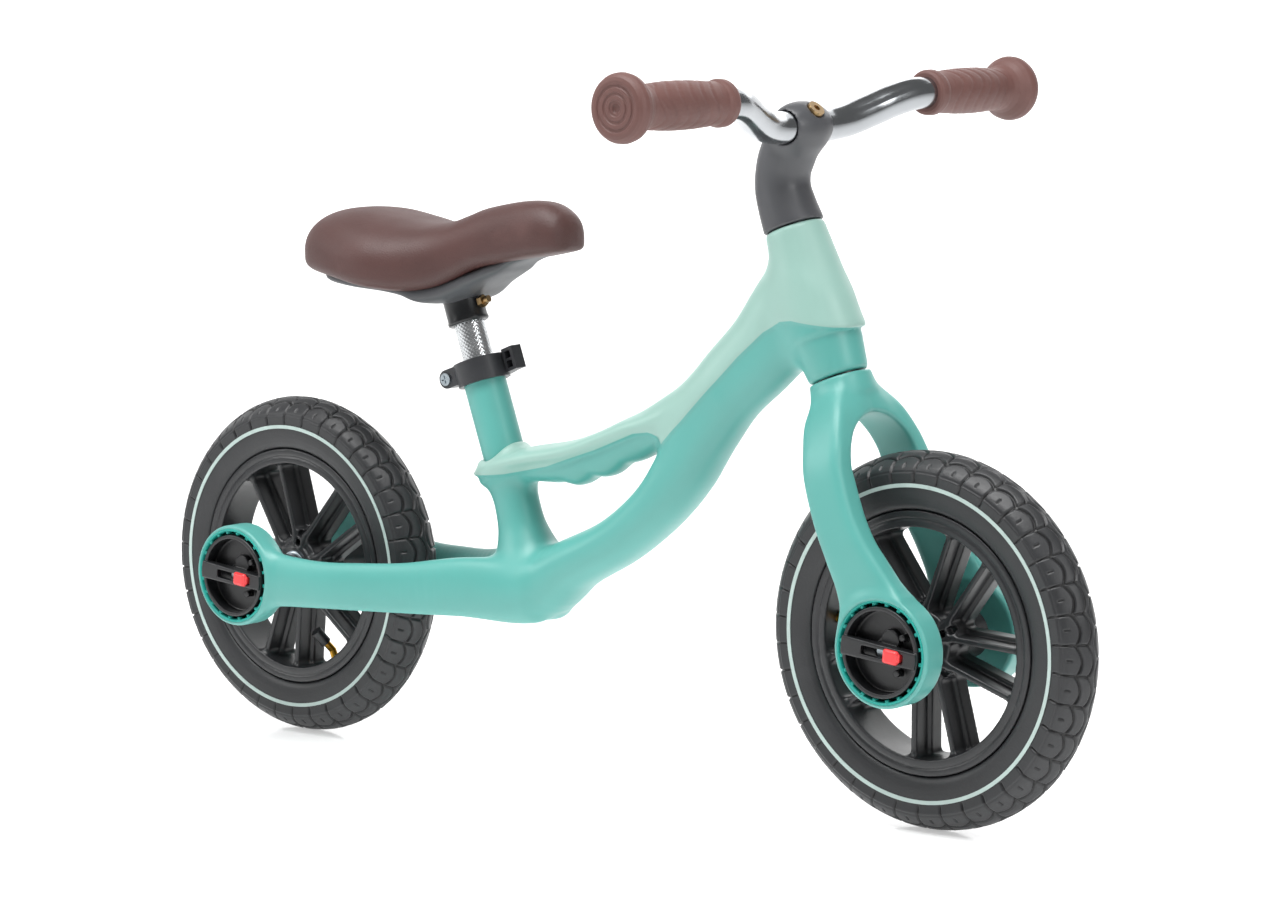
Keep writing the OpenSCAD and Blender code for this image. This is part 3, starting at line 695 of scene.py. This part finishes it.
def collar_cut(clay, shape):
    """Takes off what is above the line of the collar's top."""
    over = clay.z - np.interp(clay.x, COLLAR_TOP[:, 0], COLLAR_TOP[:, 1])
    return np.where(clay.x < COLLAR_TOP[-1, 0], np.maximum(shape, over * 0.7), shape)


def head_shell(clay):
    axis = up_of(HEAD_LEAN)
    head = clay.rod(HEAD_TOP, axis, HEAD_R, HEAD_LOW, 0, 1.0, cone=HEAD_TAPER)
    neck = clay.rod(HEAD_TOP, axis, NECK_R, -HEAD_LENGTH, NECK_HIGH, 1.2, cone=NECK_TAPER)
    return join(head, neck, 3)


def crown_step(clay, shape):
    """A small step under the mint crown."""
    line = np.interp(clay.x, PAINT_LINE[:, 0], PAINT_LINE[:, 1])
    below = np.clip((line - clay.z) / 1.6, 0, 1) * np.clip((60 - (line - clay.z)) / 50, 0, 1)
    return shape + 1.5 * below * (clay.x > CROWN_BACK)


def head_trim(clay, shape):
    """Cuts the head square just short of the two headset bushes."""
    past = clay.past_head_top()
    ends = np.maximum(past + 0.5, -HEAD_LENGTH + 0.4 - past)
    return np.where(clay.x > HEAD_BACK, np.maximum(shape, ends), shape)


def frame_shell(step):
    clay = Clay((-334, 0, 88), (242, 86, 412), step)
    bar = finger_bumps(clay, join(clay.chain(GRAB_BAR), clay.chain(CROWN_LID, power=2.6), 3))
    bar = join(bar, clay.chain(POST_COLLAR), 6)
    beam = join(clay.chain(MAIN_BEAM), clay.chain(REAR_ARM), 12)
    shape = join(join(beam, bar, 7), clay.chain(POST_SHROUD), 8)
    shape = join(collar_cut(clay, shape), head_shell(clay), 12)
    shape = crown_step(clay, soften(shape, 2))
    shape = head_trim(clay, dropout(clay, shape, "rear"))
    points, faces = two_sided_skin(clay, shape)
    paint_and_shade = points[:, 2] - np.interp(points[:, 0], PAINT_LINE[:, 0], PAINT_LINE[:, 1])
    return (points, faces), paint_and_shade


RING_TEETH = 20
BOX_FACES = [[0, 1, 3, 2], [4, 6, 7, 5], [0, 4, 5, 1], [2, 3, 7, 6], [0, 2, 6, 4], [1, 5, 7, 3]]


def ring_tooth(face, n):
    """One tooth of the row inside an axle ring."""
    spans = (31.2, 33.4), (-face + 0.5, -face + 6), (-1.1, 1.1)
    corners = np.array([(x, y, z) for x in spans[0] for y in spans[1] for z in spans[2]])
    return moved((corners, BOX_FACES), turn=2 * math.pi * (n + 0.5) / RING_TEETH)


def axle_ring(end, side):
    """The lining of an axle ring's recess: wall, floor and teeth."""
    face = RING_FACE[end]
    wall = turned([(35.2, -face + 0.9), (34.6, -face - 0.15), (33.7, -face - 0.1), (32.9, -face + 0.7),
                   (32.7, -face + 14.8), (35.2, -face + 14.8)], 120, closed=True)
    floor = turned([(33, -face + 14.6), (9, -face + 14.6), (9, -face + 15.4), (33, -face + 15.4)],
                   72, closed=True)
    teeth = [ring_tooth(face, n) for n in range(RING_TEETH)]
    return moved(merged(wall, floor, *teeth), mirror=side == "left"), (AXLES[end], 0, WHEEL_R)


def build_frame():
    mesh, paint_and_shade = frame_shell(1.5)
    piece("frame_shell", mesh, "chassis", LOOK["shell"], ["frame"], paint_and_shade)


def build_axle_rings():
    for end, body in (("rear", "chassis"), ("front", "steering")):
        for side in SIDES:
            mesh, where = axle_ring(end, side)
            # The linings take the darker recess teal, which is painted shade.
            piece(f"{end}_ring_teeth_{side}", moved(mesh, where), body, LOOK["recess"])


# ---------- fork ----------

CROWN = [[213.6, 0, 300, 18.5, 18.5], [216.5, 0, 289, 19, 19.6], [220, 0, 281, 19, 22.5],
         [226, 0, 270, 17, 30], [231, 0, 258, 14, 37.5]]
LEG = [[216, 5, 290, 12, 9], [221, 12, 279, 15, 11], [227, 24, 266, 17.5, 12.5], [232.5, 35.5, 252, 17, 11],
       [238, 43.5, 235, 16.5, 10.2], [248.5, 48, 210, 16.5, 9.8], [260.5, 50, 188, 17.5, 9.5],
       [271, 50.3, 171, 20, 9.5], [281, 50.3, 152, 25, 9.5]]
ARCH_R, ARCH_Z = 37, 239    # half the gap between the legs, and where its arch starts


def fork_shell(step):
    clay = Clay((188, 0, 86), (330, 64, 308), step)
    legs = clay.chain(LEG, steps=8, power=5.0)
    shape = join(clay.chain(CROWN), legs, 9)
    axis = up_of(HEAD_LEAN)
    shape = join(shape, clay.rod(HEAD_TOP, axis, 20.6, -HEAD_LENGTH - 14, -HEAD_LENGTH, 1), 5)
    shape = soften(shape, 1)
    arch = np.where(clay.z > ARCH_Z, np.hypot(clay.y, clay.z - ARCH_Z), np.abs(clay.y)) - ARCH_R
    shape = cut(shape, arch + np.maximum(0, 200 - clay.z), 4)
    shape = dropout(clay, shape, "front")
    shape = np.maximum(shape, clay.past_head_top() + HEAD_LENGTH + 0.4)
    return two_sided_skin(clay, shape)


def build_fork():
    piece("fork_shell", fork_shell(1.25), "steering", LOOK["teal"], ["fork"])


# ---------- stem, handlebar, grips ----------

STEM = [[175.8, 0, 397.4, 20, 20], [170.5, 0, 410, 18.8, 19.3], [166.5, 0, 423, 18, 18.5],
        [167, 0, 436, 17.8, 18.3], [172, 0, 449, 18, 18.8], [180, 0, 461, 15, 18]]
BAR_BEND = [[182.5, 0, 465], [182.5, 20, 465], [183, 32, 465.5], [186, 48, 468], [191.5, 65, 473.5],
            [198, 82, 479.8], [203, 97, 483.8], [204.2, 110, 484.6], [204.2, 130, 484.6]]
BAR_R = 11.1
BOLT_TURN = math.radians(45)


def build_stem():
    clay = Clay((140, 0, 385), (210, 26, 490), 1.1)
    clamp = clay.egg(BAR_MID, (17.2, 27, 17.2))
    clamp = rounded(clamp, np.abs(clay.y) - 21.5, 2)
    shape = join(clay.chain(STEM), clamp, 7)
    shape = rounded(shape, 0.4 - clay.past_head_top(), 0.8)
    shape = cut(shape, clay.rod(BAR_MID, ALONG_Y, BAR_R + 0.3, -30, 30), 0.8)
    bolt = (math.sin(BOLT_TURN), 0, math.cos(BOLT_TURN))
    shape = cut(shape, clay.rod(BAR_MID, bolt, 6.4, 14.6, 40, 0.3), 0.8)
    mesh = two_sided_skin(clay, shape)
    piece("stem_body", mesh, "steering", LOOK["charcoal"], ["stem"])


def build_handlebar():
    half = smooth(BAR_BEND, 8)
    route = np.vstack([half[::-1] * [1, -1, 1], half[1:]])
    end = np.array([BAR_OUT[0], GRIP_END - 9, BAR_OUT[2]])
    route = np.vstack([end * [1, -1, 1], route, end])
    piece("handlebar_tube", swept(route, BAR_R, 48), "steering", LOOK["chrome"], ["handlebar"])


GRIP_START, GRIP_FACE = 111.0, 220.5
GRIP_OUTLINE = [
    (BAR_R, GRIP_START), (13.4, GRIP_START), (14.9, GRIP_START + 0.9), (15.6, GRIP_START + 2.6),
    (15.8, GRIP_START + 7), (15.2, GRIP_START + 9.2), (14.3, GRIP_START + 11.2), (14.4, 126), (14.9, 133),
    (15.7, 146), (16, 159), (15.8, 173), (15.0, 186), (14.4, 194), (15.0, 198.5), (16.8, 202.5),
    (19.6, 206), (21.8, 209.5), (22.6, 213), (22.3, 216), (21.2, 218.4), (19.6, 219.9), (17.5, 220.5),
    (15.6, 220.4), (15.0, 219.7), (13.4, 219.7), (12.8, 220.4), (10.6, 220.4), (10, 219.7), (8.4, 219.7),
    (7.8, 220.3), (5.6, 220.3), (5.0, 219.6), (3.4, 219.4), (2.4, 218.2), (0.4, 218)]
GRIP_WAVE, GRIP_GROOVE = 11.0, 0.55         # the waves' pitch along the grip, and their depth


def grip_mesh():
    """A turned grip: a collar, a body with waves round it, and a ringed end flange."""
    outline = np.array(GRIP_OUTLINE)
    outline[:, 1] += GRIP_END - GRIP_FACE
    # More points along the outline, so that the waves show
    last = len(outline) - 1
    s = np.concatenate([np.linspace(i, i + 1, 9)[:-1] for i in range(last)] + [[last]])
    index = np.arange(len(outline))
    r, y = np.interp(s, index, outline[:, 0]), np.interp(s, index, outline[:, 1])
    a = circle(200)
    body = np.clip((y - 127) / 3, 0, 1) * np.clip((195 - y) / 3, 0, 1) * (r > BAR_R + 1)
    wave = np.sin(y * 2 * math.pi / GRIP_WAVE + 2.2 * np.sin(3 * a))
    groove = -GRIP_GROOVE * np.clip(wave - 0.55, 0, 1) / 0.45
    radius = r[None] + groove * body[None]
    points = np.stack([radius * np.cos(a), np.broadcast_to(y, radius.shape), -radius * np.sin(a)], -1)
    return net(points, caps=True)


def build_grips():
    mesh = grip_mesh()
    for side, mirror in (("left", False), ("right", True)):
        made = moved(mesh, (BAR_OUT[0], 0, BAR_OUT[2]), mirror=mirror)
        piece(f"grip_sleeve_{side}", made, "steering", LOOK["grip"],
              [f"grip_{side}", f"bar_plug_{side}"])


# ---------- wheels ----------

TYRE = [[82.2, 11], [82.4, 13.8], [88.9, 13.9], [89.6, 16.4], [92.4, 18.1], [97, 19.0], [101.5, 19.4],
        [103.6, 19.45], [107.4, 19.75], [109.6, 19.9], [110, 20.3], [114, 20.3], [118, 17.6],
        [121.4, 13.4], [124.3, 8.8], [126.3, 4.4], [127, 0]]
TREADS = 38                 # repeats of the tread round the tyre


TREAD_DEPTH = 1.6


def groove_line(distance, width):
    """1 on a groove's floor, 0 outside it."""
    return np.clip(1.5 - np.abs(distance) / width * 2, 0, 1)


def tread(around, across):
    """How deep the tread is cut, 0 to 1: around counts repeats, across is from the middle line."""
    pitch = 2 * math.pi * WHEEL_R / TREADS
    groove = np.zeros((len(around), len(across)))
    for side, shift in ((1, 0.0), (-1, 0.5)):
        u = ((around + shift) % 1 - 0.5) * pitch
        out = across[None] * side
        scallop = np.cos(math.pi * u / pitch) ** 0.8
        # Two scalloped lines, a cross groove from their cusps, and a short sipe in each shoulder block
        for line_at, deep in ((5.6, 4.6), (14.6, 4.4)):
            steep = np.hypot(1, deep * math.pi / pitch * np.sin(math.pi * u / pitch))
            groove = np.maximum(groove, groove_line((out - line_at + deep * scallop) / steep, 1.5))
        slant = 0.07 * (out - 5)
        cross = groove_line(pitch / 2 - np.abs(u + slant), 1.5)
        groove = np.maximum(groove, cross * (out > 5.2) * (out < 31))
        sipe = groove_line(u + slant, 1.1)
        groove = np.maximum(groove, 0.8 * sipe * (out > 17) * (out < 21.5))
        # A shallow line at the shoulder's outer edge
        groove = np.maximum(groove, 0.35 * groove_line(out - 24.5, 1.6))
    return groove


def tyre_section():
    """The tyre's section: radius, side and distance from the middle line along it."""
    half = np.array(TYRE)
    half = np.vstack([half[:10], smooth(half[11:], 7)])
    s = np.concatenate([[0], np.cumsum(np.linalg.norm(np.diff(half, axis=0), axis=1))])
    fine = np.unique(np.concatenate([np.linspace(0, s[9], 26), np.linspace(s[9], s[-1], 50)]))
    r, w = np.interp(fine, s, half[:, 0]), np.interp(fine, s, half[:, 1])
    r, w = np.concatenate([r, r[-2::-1]]), np.concatenate([w, -w[-2::-1]])
    across = np.concatenate([s[-1] - fine, -(s[-1] - fine[-2::-1])])
    return r, w, across


def tyre_mesh(steps=TREADS * 28):
    """The tyre with its tread cut in, and its zone value: below zero in the grooves, which take the darker
    colour as painted shade.
    """
    r, w, across = tyre_section()
    around = np.linspace(0, 1, steps, endpoint=False)[:, None] * TREADS
    groove = tread(around, across)
    depth = TREAD_DEPTH * groove
    out = np.stack([np.gradient(-w), np.gradient(r)], 0)
    out /= np.maximum(np.linalg.norm(out, axis=0), 1e-6)
    radius = r[None] - depth * np.abs(out[0])
    width = w[None] - depth * (np.sign(w) * np.abs(out[1]))
    a = around * 2 * math.pi / TREADS
    points = np.stack([radius * np.cos(a), width, -radius * np.sin(a)], -1)
    return net(points, True, True), 0.6 - groove.reshape(-1)


SPOKE_FOOT, SPOKE_TIP = 8.5, 16.6
RIM_IN, RIM_OUT, RIM_FACE, RIM_WELL = 77.5, 88.6, 17, 82


SPOKE_PAIRS = 5


def rim_barrel(radius, width):
    """The rim's barrel and flanges, with a groove round each face."""
    barrel = rounded(np.maximum(RIM_IN - radius, radius - RIM_WELL), width - RIM_FACE, 0.6)
    flange = rounded(np.maximum(RIM_IN - radius, radius - RIM_OUT), np.abs(width - 15.5) - 1.5, 0.8)
    lip = np.maximum(np.abs(radius - 83.2) - 0.7, 15.9 - width)
    return cut(join(barrel, flange), lip, 0.6)


def spoke_pair(clay, angle):
    """Two spokes side by side, each a rib on a broader back with a groove behind."""
    along = clay.x * math.cos(angle) + clay.z * math.sin(angle)
    beside = clay.z * math.cos(angle) - clay.x * math.sin(angle)
    middle = SPOKE_FOOT + (SPOKE_TIP - SPOKE_FOOT) * (along - 16) / (RIM_IN - 16)
    gap = np.abs(np.abs(beside) - middle)
    length = np.maximum(14 - along, along - RIM_IN - 2)
    rib = np.maximum(rounded(gap - 2.1, np.abs(clay.y + 6) - 7, 0.9), length)
    back = np.maximum(rounded(gap - 5.5, np.abs(clay.y - 6.4) - 6.2, 1.2), length)
    groove = np.maximum(rounded(gap - 2.9, np.abs(clay.y - 11) - 6, 1.0), length)
    return cut(join(rib, back, 2.2), groove, 1)


def rim_mesh(step, turn):
    """The moulded wheel: five pairs of ribbed spokes between a hub and a rim."""
    clay = Clay((-91, -19, -91), (91, 19, 91), step)
    radius = np.hypot(clay.x, clay.z) + 0 * clay.y
    width = np.abs(clay.y)
    shape = rim_barrel(radius, width)
    hub = join(rounded(radius - 21.5, width - 12, 1.5), rounded(radius - 16.5, width - 14, 1))
    spokes = np.full(clay.count, FAR)
    pockets = np.full(clay.count, FAR)
    for n in range(SPOKE_PAIRS):
        a = turn + n * 2 * math.pi / SPOKE_PAIRS
        spokes = join(spokes, spoke_pair(clay, a))
        b = a + math.pi / SPOKE_PAIRS
        web = np.hypot(clay.x - 21.5 * math.cos(b), clay.z - 21.5 * math.sin(b)) - 6.5
        hub = join(hub, rounded(web, width - 11.5, 1.5), 3)
        for out in (18, 25):
            pocket = clay.block((out * math.cos(b), -12, out * math.sin(b)), (2.4, 5, 2.4), 0.5, b)
            pockets = np.minimum(pockets, pocket)
    shape = join(join(shape, spokes, 5), hub, 4)
    seal_groove = np.maximum(9.6 - radius, radius - 12.8) + 0 * width + np.maximum(0, 12.6 - width) * 9
    shape = cut(cut(shape, seal_groove, 0.5), pockets, 0.6)
    return skin(np.maximum(shape, 6.5 - radius), clay.low, step)


def build_wheels():
    # The second value is the tyre's zone value: the grooves fall below zero and get painted shade.
    tyre, depth = tyre_mesh()
    for end, turn in (("front", 61), ("rear", 113)):
        body, at = f"{end}_wheel", (AXLES[end], 0, WHEEL_R)
        piece(f"{end}_tread_tyre", moved(tyre, at), body, LOOK["tyre"],
              [f"{end}_tire", f"{end}_inner_tube"], depth)
        rim = moved(rim_mesh(1.1, math.radians(turn)), at)
        piece(f"{end}_spoked_rim", rim, body, LOOK["wheel"], [f"{end}_rim"])
        seal = turned([(6.2, 12.8), (10.4, 12.8), (10.8, 13.6), (10.4, 14.2), (6.2, 14.2)],
                      64, closed=True)
        seals = merged(seal, moved(seal, mirror=True))
        piece(f"{end}_bearing_seals", moved(seals, at), body, LOOK["zinc"])


# ---------- axle locks ----------

DISH_R = 30.5
DISH_TILT = math.radians(-6)


CUP_IN_R = 27.5
RIB_OFF = 4.9               # how far the crossbar's edge ribs are off its middle


def cup_shape(clay):
    """The open cup with the bosses and pegs on its floor."""
    middle = (0, 0, 0)
    outer = clay.rod(middle, ALONG_Y, DISH_R, -0.7, 12.5, 0.9)
    cup = cut(outer, clay.rod(middle, ALONG_Y, CUP_IN_R, -6, 9.5, 1.2), 0.6)
    boss = clay.rod(middle, ALONG_Y, 9, 6.5, 12, 0.8)
    boss = join(boss, clay.rod(middle, ALONG_Y, 4.2, 4.2, 9, 0.6), 0.8)
    cup = join(cup, boss, 0.8)
    cup = join(cup, clay.rod((4, 0, 8.5), ALONG_Y, 7.2, 4.8, 12, 0.8), 0.6)
    for x, z in ((14, 12), (12, -12)):
        cup = join(cup, clay.rod((x, 0, z), ALONG_Y, 2.4, 3.4, 12, 0.7), 0.5)
    return cup


def cross_bar(clay):
    """The bar over the cup's mouth, arching out towards its rear end."""
    lift = 1.1 * np.cos(np.clip((clay.x + 6) / 30, -1, 1) * math.pi / 2)
    tall = 5.9 - 0.015 * clay.x
    bar = rounded(np.abs(clay.z) - tall, np.abs(clay.y + 0.1 + lift) - 2.3 + 0 * clay.z, 0.9)
    radius = np.hypot(clay.x, clay.z) + 0 * clay.y
    bar = np.maximum(bar, radius - DISH_R + 0.6)
    for z in (-RIB_OFF, RIB_OFF):
        bar = join(bar, clay.block((0, 2.2, z), (28, 2.2, 0.9), 0.3), 0.6)
    return bar


def dish_mesh(step=0.55):
    """A cup with a crossbar over its mouth, outer face towards -Y, mouth at y = 0."""
    clay = Clay((-32, -5, -32), (32, 15, 32), step)
    cup = join(cup_shape(clay), cross_bar(clay), 0.8)
    slot = clay.block((3.5, 0, 0), (16.5, 6, 3), 1.2)
    return skin(cut(cup, slot, 0.5), clay.low, step)


def button_mesh(step=0.45):
    """The red key: a soft-cornered cap with a flat top, at the front end of the slot."""
    clay = Clay((2, -9, -8), (24, 4, 8), step)
    cap = clay.block((11.4, -3.6, 0), (5.9, 1.9, 4.8), 1.8)
    top = clay.block((11.8, -4.9, 0), (4.4, 1.0, 3.6), 0.8)
    foot = clay.block((12, -0.4, 0), (6, 3.2, 2.9), 0.4)
    return skin(join(join(cap, top, 1.2), foot, 0.5), clay.low, step)


def build_locks():
    dish, button = dish_mesh(), button_mesh()
    for end in ENDS:
        for side in SIDES:
            left = side == "left"
            at = (AXLES[end], RING_FACE[end] if left else -RING_FACE[end], WHEEL_R)
            piece(f"{end}_lock_cup_{side}", moved(moved(dish, mirror=left), at, DISH_TILT),
                  f"{end}_lock_{side}", LOOK["lock"], [f"{end}_dish_{side}"])
            piece(f"{end}_lock_key_{side}", moved(moved(button, mirror=left), at, DISH_TILT),
                  f"{end}_key_{side}", LOOK["red"], [f"{end}_button_{side}"])


# ---------- seat ----------

# Rows of the cover along X: [x, height of its rolled edge, height of its crown, half width]
COVER = [[-250, 366, 378, 12], [-248.5, 361, 384, 27], [-244, 357, 390, 41], [-230, 352.5, 398, 55],
         [-205, 348.5, 399, 63], [-178, 343.5, 394.5, 65], [-158, 341.5, 391, 61], [-140, 341, 390.5, 52.5],
         [-122, 344.5, 393, 43], [-107, 352, 398, 36.5], [-92, 359.5, 403, 32], [-62, 366, 408, 26],
         [-40, 370, 407.5, 22.5], [-27, 372.5, 401.5, 18.5], [-22, 374, 395, 13], [-20, 377, 388, 5]]
# Rows of the pan under it: x, y, z, half height, half width
BASE = [[-242, 0, 355, 5, 22], [-222, 0, 350.2, 4.8, 42], [-196, 0, 347.7, 5.2, 50], [-165, 0, 345, 5, 48],
        [-150, 0, 343, 6, 45], [-137, 0, 340.2, 7.8, 42], [-119, 0, 342.8, 8.2, 35],
        [-100, 0, 351.5, 6.7, 27], [-84, 0, 358.2, 5.8, 22], [-75, 0, 361.5, 4.7, 19], [-66, 0, 366, 3.4, 16],
        [-50, 0, 370.4, 2.4, 11], [-30, 0, 374, 2, 7]]
POST_R = 11.1
SOCKET_LOW, SOCKET_HIGH = 34.5, 62          # the socket's ends, along the post


def raised(values, power):
    """Values raised to a power, each keeping its sign."""
    return np.sign(values) * np.abs(values) ** power


def section_net(rows, steps, sides, power):
    """A closed skin through rounded sections along X."""
    rows = smooth(rows, steps)
    a = circle(sides)
    tall, wide = rows[:, 3][None], rows[:, 4][None]
    x = rows[:, 0][None] + 0 * a
    y = wide * raised(np.cos(a), 2 / power)
    z = rows[:, 2][None] + tall * raised(np.sin(a), 2 / power)
    return net(np.stack([x, y, z], -1), caps=True)


def cover_net(rows, steps, sides):
    """The cover's skin: a round crown over a nearly flat underside with a tight edge."""
    rows = smooth(rows, steps)
    a = circle(sides)
    edge, crown, wide = rows[:, 1][None], rows[:, 2][None], rows[:, 3][None]
    waist = edge + 0.34 * (crown - edge)
    power = np.where(np.sin(a) > 0, 2 / 2.3, 2 / 4.2)
    tall = np.where(np.sin(a) > 0, crown - waist, waist - edge)
    x = rows[:, 0][None] + 0 * a
    y = wide * raised(np.cos(a), power)
    z = waist + tall * raised(np.sin(a), power)
    return net(np.stack([x, y, z], -1), caps=True)


def socket_mesh():
    """The pan's socket round the post."""
    ring = [(POST_R, SOCKET_LOW), (13.9, SOCKET_LOW), (15.0, 35.3), (15.2, 36.6), (14.7, 38.2), (14.6, 58),
            (16.5, SOCKET_HIGH), (POST_R, SOCKET_HIGH)]
    points, faces = turned(ring, 72, closed=True)
    local = np.stack([points[:, 0], points[:, 2], points[:, 1]], -1)
    return leaning(SEAT_MID, SEAT_LEAN, local), faces


def build_saddle():
    cover = cover_net(COVER, 10, 160)
    padding = piece("saddle_padding", cover, "seat", LOOK["leather"], ["saddle_cover"])
    base = section_net(BASE, 8, 96, 3)
    piece("saddle_pan", base, "seat", LOOK["shell_dark"], ["saddle_base"])
    piece("saddle_socket", socket_mesh(), "seat", LOOK["lock"])


POST_LOW, POST_HIGH = -118.0, 57.0
KNURL_LINES, KNURL_TWIST, KNURL_DEPTH = 22, 0.95, 0.28


def post_mesh():
    """The knurled seat post: crossed grooves cut into the tube's surface."""
    z = np.arange(POST_LOW, POST_HIGH, 0.6)
    a = circle(180)
    one_way = np.abs(np.sin(KNURL_LINES * a / 2 + z * KNURL_TWIST))
    other_way = np.abs(np.sin(KNURL_LINES * a / 2 - z * KNURL_TWIST))
    radius = POST_R - KNURL_DEPTH * np.clip(1 - np.minimum(one_way, other_way) * 2.4, 0, 1)
    local = np.stack([radius * np.cos(a), radius * np.sin(a), np.broadcast_to(z, radius.shape)], -1)
    points, faces = net(local, caps=True)
    return leaning(SEAT_MID, SEAT_LEAN, points), faces


def build_post():
    piece("knurled_post", post_mesh(), "seat", LOOK["knurled"], ["seat_post"])


# ---------- what stays from the CAD ----------

CAD_LOOKS = {"seat_tube": "teal", "seat_clamp": "clamp", "clamp_lever": "clamp", "clamp_screw": "zinc",
             "clamp_pin": "zinc", "headset_upper": "lock", "headset_lower": "lock", "saddle_bolt": "bronze",
             "steerer_tube": "zinc", "stem_bolt": "bronze"}
for end in ENDS:
    CAD_LOOKS |= {f"{end}_axle": "zinc", f"{end}_spacers": "wheel", f"{end}_tire_bands": "band",
                  f"{end}_bearings": "zinc", f"{end}_valve_stem": "brass", f"{end}_valve_cap": "lock"}


def dress_cad():
    for node, look in CAD_LOOKS.items():
        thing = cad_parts[node]
        thing.data.materials.clear()
        thing.data.materials.append(LOOK[look])


build_frame()
build_axle_rings()
build_fork()
build_stem()
build_handlebar()
build_grips()
build_wheels()
build_locks()
build_saddle()
build_post()
dress_cad()
